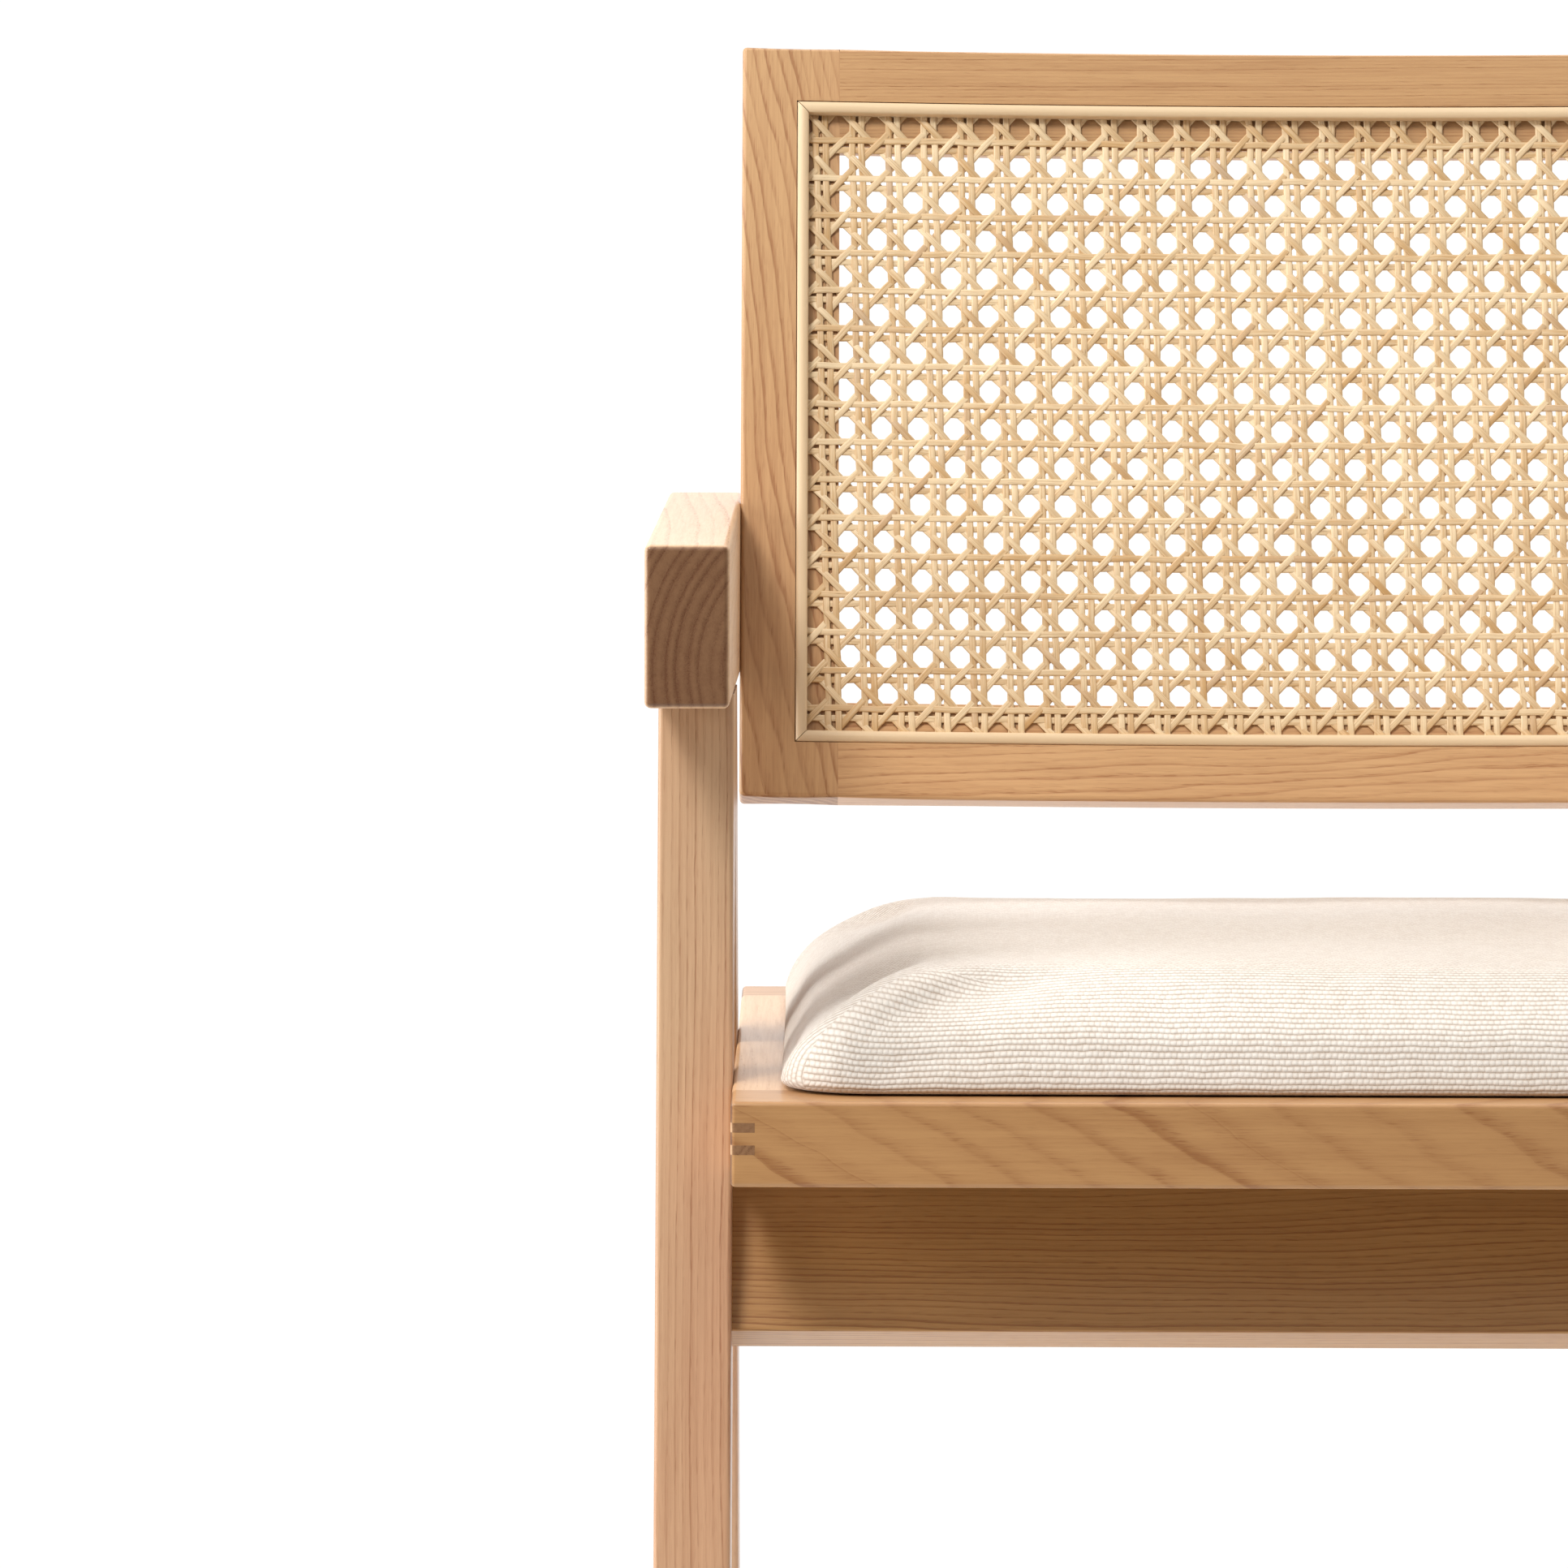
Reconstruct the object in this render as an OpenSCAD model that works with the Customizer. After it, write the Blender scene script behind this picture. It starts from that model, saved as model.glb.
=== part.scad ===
// Wooden armchair with inverted-V side legs, a reclined cane back and an upholstered seat pad.
// Millimetres. +Z is up, the sitter faces -Y, and left and right are as seen by someone
// who faces the chair, so the left side is at -X. The origin is on the floor, under the
// centre of the overall box. A "depth" is a distance behind the front ends of the arms.

/* [Overall] */
// Clear width between the two side frames
inner_w = 480; // [440:5:560]
// Depth from the front of the arms to the back of the rear feet
overall_d = 530; // [520:5:600]

/* [Arms] */
// Thickness of an arm, across the chair
arm_t = 31; // [30:1:36]
// Length of an arm
arm_len = 476; // [440:2:500]
// Height of the top of the arms above the floor
arm_top = 619; // [610:1:640]
// Height of an arm's front end
arm_front_h = 59.5; // [55:0.5:65]
// Slope of an arm's underside, in degrees, deeper towards the back
arm_slope = 1.7; // [0:0.1:2.5]

/* [Legs] */
// Thickness of a leg, across the chair
leg_t = 29; // [27:1:30]
// Depth of the front edge of the front foot
front_foot_at = 32; // [10:1:45]
// Depth of the front leg's front edge, under the arm
front_top_at = 156; // [150:1:160]
// Width of the front leg, under the arm
front_top_w = 61; // [58:1:64]
// Depth of the rear leg's back edge, under the arm
rear_top_at = 262; // [258:1:266]
// Width of the rear leg where its front edge would reach the arm
rear_top_w = 69; // [66:1:72]
// Width of every foot
foot_w = 45; // [40:1:50]
// Height of a foot glide
glide_h = 3; // [2:0.5:4]
// Radius of a foot glide
glide_r = 10; // [8:0.5:12]

/* [Seat] */
// Depth of the seat frame's front edge
seat_at = 60; // [50:1:65]
// Depth of the seat frame itself
seat_d = 434; // [420:2:440]
// Height of the top of the seat frame
seat_top = 409; // [404:1:414]
// Height of the rails
rail_h = 32; // [30:1:34]
// Width of the rails, in plan
rail_w = 40; // [38:1:44]
// Width of a corner finger
finger_w = 9; // [7:0.5:12]
// Height of a corner finger
finger_h = 3.6; // [3:0.1:4.5]
// Thickness of the plywood seat board
board_t = 9; // [6:1:9]
// How far the pad stays inside the seat frame's edges
pad_inset = 18; // [12:1:24]
// Height of the pad's crown above the frame
pad_h = 47; // [35:1:55]

/* [Stretcher] */
// Depth of the stretcher's lower front edge
stretcher_at = 112; // [108:1:114]
// Height of the stretcher's lower front edge
stretcher_z = 316; // [312:1:318]
// Width of the stretcher board
stretcher_w = 66; // [60:1:66]
// Thickness of the stretcher board
stretcher_t = 25.5; // [22:0.5:27]
// Lean of the stretcher, in degrees, with its lower edge forward
stretcher_lean = 22; // [18:1:24]

/* [Back] */
// Depth of the back's lower front edge, at its sides
back_at = 345; // [340:1:355]
// Height of the back's lower front edge, at its sides
back_z = 501.5; // [495:0.5:510]
// Length of the back, along its lean
back_len = 313; // [300:1:330]
// Lean of the back, in degrees
back_lean = 14.3; // [12:0.1:16]
// Thickness of the back frame
back_t = 22; // [20:0.5:24]
// How far the middle of the back curves behind its sides
back_sag = 9.3; // [6:0.1:14]
// Width of the stiles and rails of the back
back_member = 40; // [38:0.5:44]
// Width of the flat face outside the cane recess
back_face = 22.4; // [20:0.1:24]
// Depth of the cane recess
recess = 6; // [5:0.5:7]
// Thickness of the woven cane
cane_t = 1.4; // [1:0.1:2]
// Width of the beads over the cane's edges
bead_w = 5; // [4:0.5:6]
// How far the beads stand proud of the frame
bead_proud = 0.8; // [0:0.1:1.5]

/* [Fixings] */
// Radius of the dowels between legs and arms, and in the stretcher
dowel_r = 5; // [4:0.5:5]
// Radius of the dowels in the leg joints and the back's corners
small_dowel_r = 4; // [3:0.5:4]
// Radius of the bolts' shanks
bolt_r = 3; // [2.5:0.5:3]
// Radius of the bolts' heads and of the plugs over them
head_r = 6; // [5:0.5:6]
// Radius of the seat board's screws
screw_r = 2; // [1.5:0.5:2]

/* [Hidden] */

LEFT = -1;
RIGHT = 1;
ash = "#d2a679";
ash_end = "#c0906a";
cane_colour = "#e3c48f";
cloth = "#eee6da";
steel = "#9a9a9c";

fit_gap = 0.05;
$fn = 48;

half_w = inner_w / 2;
leg_x = half_w + leg_t / 2;
seat_z0 = seat_top - rail_h;
seat_back = seat_at + seat_d;
block_top = seat_top - board_t;
block_leg = 38;
finger_gap = 4.8;
finger_drop = 7.8;

// Plan radius of the back's front face
back_r = (pow(half_w, 2) + pow(back_sag, 2)) / (2 * back_sag);
panel_half = half_w - back_face;
bead_floor = recess - cane_t;

// Y of a place at this depth behind the front of the arms
function y_at(depth) = depth - overall_d / 2;

// Height of an arm's underside at this depth
function arm_under(depth) = arm_top - arm_front_h - depth * tan(arm_slope);

// Where the line through p and q meets the line through r and s
function meet(p, q, r, s) = p + (q - p) * cross(r - p, s - r) / cross(q - p, s - r);

// Depth and height of a point on the back's frame: a way up the lean, and a way behind the face
function back_point(up, behind) = [
    back_at + up * sin(back_lean) + behind * cos(back_lean),
    back_z + up * cos(back_lean) - behind * sin(back_lean)
];

// Depth and height of a point in the stretcher: a way up the board, and a way behind its face
function stretcher_point(up, behind) = [
    stretcher_at + up * sin(stretcher_lean) + behind * cos(stretcher_lean),
    stretcher_z + up * cos(stretcher_lean) - behind * sin(stretcher_lean)
];

// Corners of the front leg: foot, then top
ff = [front_foot_at, glide_h];
fb = [front_foot_at + foot_w, glide_h];
tf = [front_top_at, arm_under(front_top_at)];
tb = [front_top_at + front_top_w, arm_under(front_top_at + front_top_w)];
// Corners of the rear leg, and the crotch where its front edge meets the front leg
rf = [overall_d - foot_w, glide_h];
rb = [overall_d, glide_h];
rt = [rear_top_at, arm_under(rear_top_at)];
crotch = meet(rf, rt - [rear_top_w, 0], fb, tb);

// Depths of the two dowels into each arm, and how far they reach each way
arm_dowel_depths = [front_top_at + front_top_w / 2, (tb[0] + rt[0]) / 2];
arm_dowel_reach = 25;
// The dowel across each leg joint
joint_mid = (crotch + tb) / 2;
joint_tilt = atan((tb[0] - crotch[0]) / (tb[1] - crotch[1]));
joint_dowel_half = 14;
// Ways up the lean of the two bolts in each stile
back_bolt_ups = [71, 105];
plug_t = 6;
head_t = 4;
bolt_into_stile = 25;
// Ways up the lean of the dowels in the back's corners
back_dowel_ups = [11, 29, back_len - 29, back_len - 11];
back_dowel_half = 18;
back_dowel_behind = 16;
// Ways up the stretcher of its dowels
stretcher_dowel_ups = [18, 48];
stretcher_dowel_half = 22;
// Depths of the bolts that hold the seat frame to the front and rear legs
seat_bolt_z = seat_z0 + 16;
seat_bolt_depths = [150, 307];
seat_bolt_into_leg = 20;
// Screws up through the corner blocks
screw_in = 13;
screw_len = 20;

// A board seen from the side: an outline of [depth, height] points, t thick from x0
module side_board(x0, t, outline)
    translate([x0, 0, 0])
        rotate([90, 0, 90])
            linear_extrude(t)
                polygon([for (p = outline) [y_at(p[0]), p[1]]]);

// The side named, from what is drawn for the left one
module on_side(side) {
    if (side == LEFT) children();
    else mirror([1, 0, 0]) children();
}

// A cylinder along X, from x0 to x1, at a [depth, height] point
module cross_pin(x0, x1, at, r)
    translate([x0, y_at(at[0]), at[1]])
        rotate([0, 90, 0])
            cylinder(r = r, h = x1 - x0);

// The back's own frame: X across, Y behind the face at its sides, Z up the lean
module in_back()
    translate([0, y_at(back_at), back_z])
        rotate([-back_lean, 0, 0])
            children();

// A curved slab of the back: from x0 to x1, from z0 to z1, between two depths behind the face
module back_slab(x0, x1, z0, z1, front, rear)
    translate([0, 0, z0])
        linear_extrude(z1 - z0)
            intersection() {
                translate([0, back_sag - back_r])
                    difference() {
                        circle(r = back_r + rear, $fn = 1440);
                        circle(r = back_r + front, $fn = 1440);
                    }
                translate([x0, -back_t])
                    square([x1 - x0, 3 * back_t]);
            }

// ---- Side frames ----

module arm_dowel_pins(r, more)
    for (d = arm_dowel_depths)
        translate([-leg_x, y_at(d), arm_under(d) - arm_dowel_reach - more])
            cylinder(r = r, h = 2 * (arm_dowel_reach + more));

module leg_joint_pin(r, half)
    translate([-leg_x, y_at(joint_mid[0]), joint_mid[1]])
        rotate([-90 - joint_tilt, 0, 0])
            translate([0, 0, -half])
                cylinder(r = r, h = 2 * half);

module stretcher_pins(r, half)
    for (up = stretcher_dowel_ups)
        cross_pin(-half_w - half, -half_w + half, stretcher_point(up, stretcher_t / 2), r);

module back_bolt_pins(r, x_out, x_in)
    for (up = back_bolt_ups)
        cross_pin(x_out, x_in, back_point(up, back_t / 2 + 1), r);

module seat_bolt_pins(r, x_out, x_in)
    for (d = seat_bolt_depths)
        cross_pin(x_out, x_in, [d, seat_bolt_z], r);

module arm(side)
    color(ash)
        on_side(side)
            difference() {
                side_board(-half_w - arm_t, arm_t, [
                    [0, arm_under(0)],
                    [arm_len, arm_under(arm_len)],
                    [arm_len, arm_top],
                    [0, arm_top]
                ]);
                arm_dowel_pins(dowel_r + fit_gap, 1);
                back_bolt_pins(bolt_r + fit_gap, -half_w - arm_t, -half_w + 1);
                back_bolt_pins(head_r + fit_gap, -half_w - arm_t - 1, -half_w - arm_t + plug_t + head_t);
            }

module front_leg(side)
    color(ash)
        on_side(side)
            difference() {
                side_board(-half_w - leg_t, leg_t, [ff, fb, tb, tf]);
                arm_dowel_pins(dowel_r + fit_gap, 1);
                leg_joint_pin(small_dowel_r + fit_gap, joint_dowel_half + 1);
                stretcher_pins(dowel_r + fit_gap, stretcher_dowel_half + 1);
                seat_bolt_pins(bolt_r + fit_gap, -half_w - seat_bolt_into_leg - 1, -half_w + 1);
            }

module rear_leg(side)
    color(ash)
        on_side(side)
            difference() {
                side_board(-half_w - leg_t, leg_t, [rf, rb, rt, tb, crotch]);
                arm_dowel_pins(dowel_r + fit_gap, 1);
                leg_joint_pin(small_dowel_r + fit_gap, joint_dowel_half + 1);
                seat_bolt_pins(bolt_r + fit_gap, -half_w - seat_bolt_into_leg - 1, -half_w + 1);
            }

module arm_dowels()
    color(ash_end)
        for (side = [LEFT, RIGHT])
            on_side(side) arm_dowel_pins(dowel_r, 0);

module leg_dowels()
    color(ash_end)
        for (side = [LEFT, RIGHT])
            on_side(side) leg_joint_pin(small_dowel_r, joint_dowel_half);

module foot_glides()
    color(steel)
        for (side = [LEFT, RIGHT])
            for (foot = [ff, rf])
                on_side(side)
                    translate([-leg_x, y_at(foot[0] + foot_w / 2), 0])
                        cylinder(r = glide_r, h = glide_h);

// ---- Stretcher ----

module stretcher()
    color(ash)
        difference() {
            side_board(-half_w, inner_w, [
                stretcher_point(0, 0),
                stretcher_point(0, stretcher_t),
                stretcher_point(stretcher_w, stretcher_t),
                stretcher_point(stretcher_w, 0)
            ]);
            for (side = [LEFT, RIGHT])
                on_side(side) stretcher_pins(dowel_r + fit_gap, stretcher_dowel_half + 1);
        }

module stretcher_dowels()
    color(ash_end)
        for (side = [LEFT, RIGHT])
            on_side(side) stretcher_pins(dowel_r, stretcher_dowel_half);

// ---- Seat ----

// The two fingers at each end of the left side rail, through the front and rear rails
module corner_fingers()
    for (i = [0, 1])
        for (d = [seat_at, seat_back - rail_w])
            translate([-half_w, y_at(d), seat_top - finger_drop - finger_h - i * (finger_h + finger_gap)])
                cube([finger_w, rail_w, finger_h]);

module cross_rail(depth)
    color(ash)
        difference() {
            translate([-half_w, y_at(depth), seat_z0])
                cube([inner_w, rail_w, rail_h]);
            for (side = [LEFT, RIGHT])
                on_side(side) corner_fingers();
        }

module seat_side_rail(side)
    color(ash)
        on_side(side) {
            difference() {
                translate([-half_w, y_at(seat_at + rail_w), seat_z0])
                    cube([rail_w, seat_d - 2 * rail_w, rail_h]);
                seat_bolt_pins(bolt_r + fit_gap, -half_w - 1, -half_w + rail_w + 1);
            }
            corner_fingers();
        }

// What is drawn for the front left corner, at all four corners of the seat frame
module at_corners()
    for (side = [LEFT, RIGHT])
        on_side(side)
            for (end = [0, 1])
                translate([0, y_at(seat_at + seat_d / 2), 0])
                    mirror([0, end, 0])
                        translate([-half_w + rail_w, rail_w - seat_d / 2, 0])
                            children();

module board_screw(r, more)
    translate([screw_in, screw_in, block_top + board_t / 2 - screw_len])
        cylinder(r = r, h = screw_len + more);

module corner_blocks()
    color(ash_end)
        at_corners()
            difference() {
                translate([0, 0, seat_z0])
                    linear_extrude(block_top - seat_z0)
                        polygon([[0, 0], [block_leg, 0], [0, block_leg]]);
                translate([0, 0, -1]) board_screw(screw_r + fit_gap, 1);
            }

module board_screws()
    color(steel)
        at_corners() board_screw(screw_r, 0);

module seat_board()
    color(ash_end)
        difference() {
            translate([-half_w + rail_w + 0.5, y_at(seat_at + rail_w + 0.5), block_top])
                cube([inner_w - 2 * rail_w - 1, seat_d - 2 * rail_w - 1, board_t]);
            at_corners() board_screw(screw_r + fit_gap, 1);
        }

module seat_bolts()
    color(steel)
        for (side = [LEFT, RIGHT])
            on_side(side) {
                seat_bolt_pins(bolt_r, -half_w - seat_bolt_into_leg, -half_w + rail_w);
                seat_bolt_pins(head_r, -half_w + rail_w, -half_w + rail_w + head_t);
            }

// One level of the pad: its edge drawn in, with rounded corners
module pad_level(z, drawn_in)
    translate([0, y_at(seat_at + seat_d / 2), z])
        linear_extrude(0.1)
            hull()
                for (sx = [-1, 1])
                    for (sy = [-1, 1])
                        translate([
                            sx * (half_w - pad_inset - drawn_in - 26),
                            sy * (seat_d / 2 - pad_inset - drawn_in - 26)
                        ])
                            circle(r = 26, $fn = 32);

module seat_pad()
    color(cloth)
        hull() {
            pad_level(seat_top + 0.3, 8);
            pad_level(seat_top + 0.2 * pad_h, 0);
            pad_level(seat_top + 0.45 * pad_h, 2);
            pad_level(seat_top + 0.8 * pad_h, 18);
            pad_level(seat_top + pad_h - 0.1, 52);
        }

// ---- Back ----

module cane_pocket()
    back_slab(-panel_half, panel_half, back_face, back_len - back_face, -2, recess);

// Dowels across the corners of the back, on the left
module back_corner_pins(r, half)
    for (up = back_dowel_ups)
        translate([-half_w + back_member - half, back_dowel_behind, up])
            rotate([0, 90, 0])
                cylinder(r = r, h = 2 * half);

module back_stile(side)
    color(ash)
        on_side(side)
            difference() {
                in_back()
                    difference() {
                        back_slab(-half_w, -half_w + back_member, 0, back_len, 0, back_t);
                        cane_pocket();
                        back_corner_pins(small_dowel_r + fit_gap, back_dowel_half + 1);
                    }
                back_bolt_pins(bolt_r + fit_gap, -half_w - 1, -half_w + bolt_into_stile + 1);
            }

module back_rail(z0)
    color(ash)
        in_back()
            difference() {
                back_slab(-half_w + back_member, half_w - back_member, z0, z0 + back_member, 0, back_t);
                cane_pocket();
                for (side = [LEFT, RIGHT])
                    on_side(side) back_corner_pins(small_dowel_r + fit_gap, back_dowel_half + 1);
            }

module back_dowels()
    color(ash_end)
        in_back()
            for (side = [LEFT, RIGHT])
                on_side(side) back_corner_pins(small_dowel_r, back_dowel_half);

module back_bolts()
    color(steel)
        for (side = [LEFT, RIGHT])
            on_side(side) {
                back_bolt_pins(bolt_r, -half_w - arm_t + plug_t + head_t, -half_w + bolt_into_stile);
                back_bolt_pins(head_r, -half_w - arm_t + plug_t, -half_w - arm_t + plug_t + head_t);
            }

module bolt_plugs()
    color(ash_end)
        for (side = [LEFT, RIGHT])
            on_side(side)
                back_bolt_pins(head_r, -half_w - arm_t, -half_w - arm_t + plug_t);

module cane_panel()
    color(cane_colour)
        in_back()
            back_slab(-panel_half + 0.2, panel_half - 0.2, back_face + 0.2, back_len - back_face - 0.2,
                bead_floor, recess);

// A bead along the top or bottom of the cane, with mitred ends
module long_bead(z_edge, inward)
    color(cane_colour)
        in_back()
            intersection() {
                back_slab(-panel_half, panel_half, min(z_edge, z_edge + inward * bead_w),
                    max(z_edge, z_edge + inward * bead_w), -bead_proud, bead_floor);
                translate([0, 3 * back_t, 0])
                    rotate([90, 0, 0])
                        linear_extrude(5 * back_t)
                            polygon([
                                [-panel_half, z_edge],
                                [panel_half, z_edge],
                                [panel_half - bead_w, z_edge + inward * bead_w],
                                [-panel_half + bead_w, z_edge + inward * bead_w]
                            ]);
            }

// A bead along one side of the cane, with mitred ends
module side_bead(side)
    color(cane_colour)
        on_side(side)
            in_back()
                intersection() {
                    back_slab(-panel_half, -panel_half + bead_w, back_face, back_len - back_face,
                        -bead_proud, bead_floor);
                    translate([0, 3 * back_t, 0])
                        rotate([90, 0, 0])
                            linear_extrude(5 * back_t)
                                polygon([
                                    [-panel_half, back_face],
                                    [-panel_half + bead_w, back_face + bead_w],
                                    [-panel_half + bead_w, back_len - back_face - bead_w],
                                    [-panel_half, back_len - back_face]
                                ]);
                }

arm(LEFT);  // arm_left
arm(RIGHT);  // arm_right
front_leg(LEFT);  // front_leg_left
front_leg(RIGHT);  // front_leg_right
rear_leg(LEFT);  // rear_leg_left
rear_leg(RIGHT);  // rear_leg_right
cross_rail(seat_at);  // seat_front_rail
cross_rail(seat_back - rail_w);  // seat_rear_rail
seat_side_rail(LEFT);  // seat_side_rail_left
seat_side_rail(RIGHT);  // seat_side_rail_right
corner_blocks();
seat_board();
seat_pad();
stretcher();
back_stile(LEFT);  // back_stile_left
back_stile(RIGHT);  // back_stile_right
back_rail(back_len - back_member);  // back_top_rail
back_rail(0);  // back_bottom_rail
cane_panel();
long_bead(back_len - back_face, -1);  // bead_top
long_bead(back_face, 1);  // bead_bottom
side_bead(LEFT);  // bead_left
side_bead(RIGHT);  // bead_right
arm_dowels();
leg_dowels();
back_dowels();
stretcher_dowels();
seat_bolts();
back_bolts();
bolt_plugs();
board_screws();
foot_glides();
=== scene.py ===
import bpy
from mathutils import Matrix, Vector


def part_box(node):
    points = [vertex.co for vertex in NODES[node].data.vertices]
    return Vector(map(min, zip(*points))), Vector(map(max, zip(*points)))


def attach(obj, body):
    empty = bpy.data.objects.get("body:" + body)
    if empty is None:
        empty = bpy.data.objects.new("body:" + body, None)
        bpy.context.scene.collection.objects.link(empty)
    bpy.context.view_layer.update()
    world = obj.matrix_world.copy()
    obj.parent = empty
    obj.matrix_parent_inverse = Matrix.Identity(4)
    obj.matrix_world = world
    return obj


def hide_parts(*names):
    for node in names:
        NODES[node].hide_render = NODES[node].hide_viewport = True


bl_info = {
    "name": "Cane-back armchair",
    "version": (1, 0, 0),
    "blender": (4, 5, 0),
    "location": "View3D > Sidebar > Armchair",
    "description": "Ash armchair with inverted-V legs, a woven cane back and a padded seat",
    "category": "Add Mesh",
}

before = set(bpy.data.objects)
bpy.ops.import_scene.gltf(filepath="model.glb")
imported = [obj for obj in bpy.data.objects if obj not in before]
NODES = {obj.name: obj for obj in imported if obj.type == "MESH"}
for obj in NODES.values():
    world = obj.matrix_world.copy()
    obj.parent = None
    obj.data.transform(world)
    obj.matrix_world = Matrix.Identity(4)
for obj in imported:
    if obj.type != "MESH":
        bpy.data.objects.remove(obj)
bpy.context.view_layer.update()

import math

import bmesh
import bpy
import numpy as np
from bpy.props import FloatProperty, FloatVectorProperty, PointerProperty
from mathutils import Euler, Matrix, Vector, noise

BODY = "root"
MM = 0.001

# The back's own frame, read from its left stile: its lowest front corner, its lean and its length
_stile = NODES["back_stile_left"].data.vertices
_back_foot = min(_stile, key=lambda v: v.co.y).co.copy()
_back_head = max(_stile, key=lambda v: v.co.z).co.copy()
BACK_LEAN = math.atan2(_back_head.y - _back_foot.y, _back_head.z - _back_foot.z)
BACK_LEN = (_back_head.z - _back_foot.z) / math.cos(BACK_LEAN)
BACK_HALF = -_back_foot.x
BACK_SAG = 9.3 * MM
BACK_R = (BACK_HALF ** 2 + BACK_SAG ** 2) / (2 * BACK_SAG)
BACK_MEMBER = 40 * MM
# The cane's recess: how far in from the back's edge it starts, how deep the beads in it go, how
# wide they are and how far they stand out of it
FACE = 22.4 * MM
BEAD_FLOOR = 4.6 * MM
BEAD_WIDTH = 5 * MM
BEAD_PROUD = 0.8 * MM
# Points of the back this near count as one place, and edges shorter than this belong to its bores
NEAR = 0.2 * MM
BORE_EDGE = 6 * MM


# ---------------------------------------------------------------- settings


def length(name, description, low, high, default):
    return FloatProperty(
        name=name, description=description, unit="LENGTH", min=low, max=high, default=default)


def angle(name, description, low, degrees):
    return FloatProperty(
        name=name, description=description, subtype="ANGLE", min=low, max=1, default=math.radians(degrees))


def paint(name, description, *default):
    return FloatVectorProperty(
        name=name, description=description, subtype="COLOR", size=3, min=0, max=1, default=default)


class WoodSettings(bpy.types.PropertyGroup):
    """The ash and how its edges are finished"""

    pale: paint("Late wood", "Colour of the smooth wood between the rings", 0.62, 0.385, 0.205)
    ring: paint("Early wood", "Colour of the open-pored start of each ring", 0.40, 0.20, 0.092)
    edge_radius: length("Edge radius", "Rounding of the boards' edges", 0.5 * MM, 4 * MM, 1.8 * MM)


class CaneSettings(bpy.types.PropertyGroup):
    """The woven cane and the beads round it"""

    pitch_across: length(
        "Pitch across", "Distance from hole to hole across the back", 10 * MM, 30 * MM, 14.9 * MM)
    pitch_up: length(
        "Pitch up", "Distance from hole to hole up the back", 10 * MM, 30 * MM, 15.85 * MM)
    strand_width: length("Strand width", "Width of one strand of cane", 1 * MM, 4 * MM, 2.7 * MM)
    strand_thickness: length(
        "Strand thickness", "Thickness of one strand of cane", 0.2 * MM, 1 * MM, 0.56 * MM)
    phase_across: FloatProperty(
        name="Phase across", description="Where the weave starts across the back, in pitches",
        min=-1, max=1, default=-0.25)
    phase_up: FloatProperty(
        name="Phase up", description="Where the weave starts up the back, in pitches",
        min=-1, max=1, default=-0.36)
    skin: paint("Cane", "Colour of a pale strand", 0.84, 0.65, 0.40)
    bead: paint("Bead", "Colour of the beads", 0.80, 0.61, 0.39)


class PadSettings(bpy.types.PropertyGroup):
    """The seat pad and its cover"""

    crown: length("Crown", "Height of the pad's middle above its edge", 0, 20 * MM, 5 * MM)
    rib_pitch: length("Rib pitch", "Distance between the cover's ribs", 1 * MM, 5 * MM, 2.7 * MM)
    knot_pitch: length(
        "Knot pitch", "Distance between the knots along a rib", 1 * MM, 5 * MM, 2.3 * MM)
    cloth: paint("Cover", "Colour of the cover", 0.77, 0.72, 0.655)


class StageSettings(bpy.types.PropertyGroup):
    """The floor, the lights and the camera"""

    floor: paint("Floor", "Colour of the floor", 0.84, 0.84, 0.83)
    floor_radius: length("Floor radius", "Radius of the round floor", 0.5, 20, 1.1)
    camera_distance: length(
        "Camera distance", "From the camera to the front of the arms", 1, 6, 3.0)
    camera_height: length("Camera height", "Height of the camera above the floor", 0.2, 2, 0.7588)
    camera_side: length(
        "Camera side", "How far right of the chair's middle the camera stands", -1, 1, -0.2055)
    camera_pitch: angle("Camera pitch", "How far down the camera looks", 0, 4.32)
    camera_turn: angle("Camera turn", "How far left the camera looks", -1, 0.28)
    camera_roll: angle("Camera roll", "How far the camera is turned about its own axis", -1, 0.15)
    lens: FloatProperty(
        name="Lens", description="Focal length on a 36 mm wide sensor, in millimetres",
        min=20, max=400, default=190.1)


# ---------------------------------------------------------------- node helpers


def two_sided(operation):
    """An operator and its reflected form"""
    def forward(self, other):
        return self.math(operation, self, other)

    def reflected(self, other):
        return self.math(operation, other, self)

    return forward, reflected


def one_sided(operation):
    """A function of one value"""
    return lambda self: self.math(operation, self)


class Socket:
    """A node's output that can be used in arithmetic"""

    def __init__(self, tree, output):
        self.tree = tree
        self.output = output

    def math(self, operation, *operands):
        node = self.tree.nodes.new("ShaderNodeMath")
        node.operation = operation
        for slot, operand in zip(node.inputs, operands):
            plug(self.tree, slot, operand)
        return Socket(self.tree, node.outputs[0])

    __add__, __radd__ = two_sided("ADD")
    __sub__, __rsub__ = two_sided("SUBTRACT")
    __mul__, __rmul__ = two_sided("MULTIPLY")
    __truediv__, __rtruediv__ = two_sided("DIVIDE")
    __pow__, __rpow__ = two_sided("POWER")
    __mod__, __rmod__ = two_sided("FLOORED_MODULO")
    __abs__ = one_sided("ABSOLUTE")
    sign = one_sided("SIGN")
    sin = one_sided("SINE")
    cos = one_sided("COSINE")
    floor = one_sided("FLOOR")
    fract = one_sided("FRACT")
    sqrt = one_sided("SQRT")

    def above(self, other):
        return self.math("GREATER_THAN", self, other)

    def clamp(self):
        return self.math("MINIMUM", self.math("MAXIMUM", self, 0.0), 1.0)

    def ramp(self, low, high):
        """0 below low, 1 above high and straight between them"""
        return ((self - low) / (high - low)).clamp()


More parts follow.
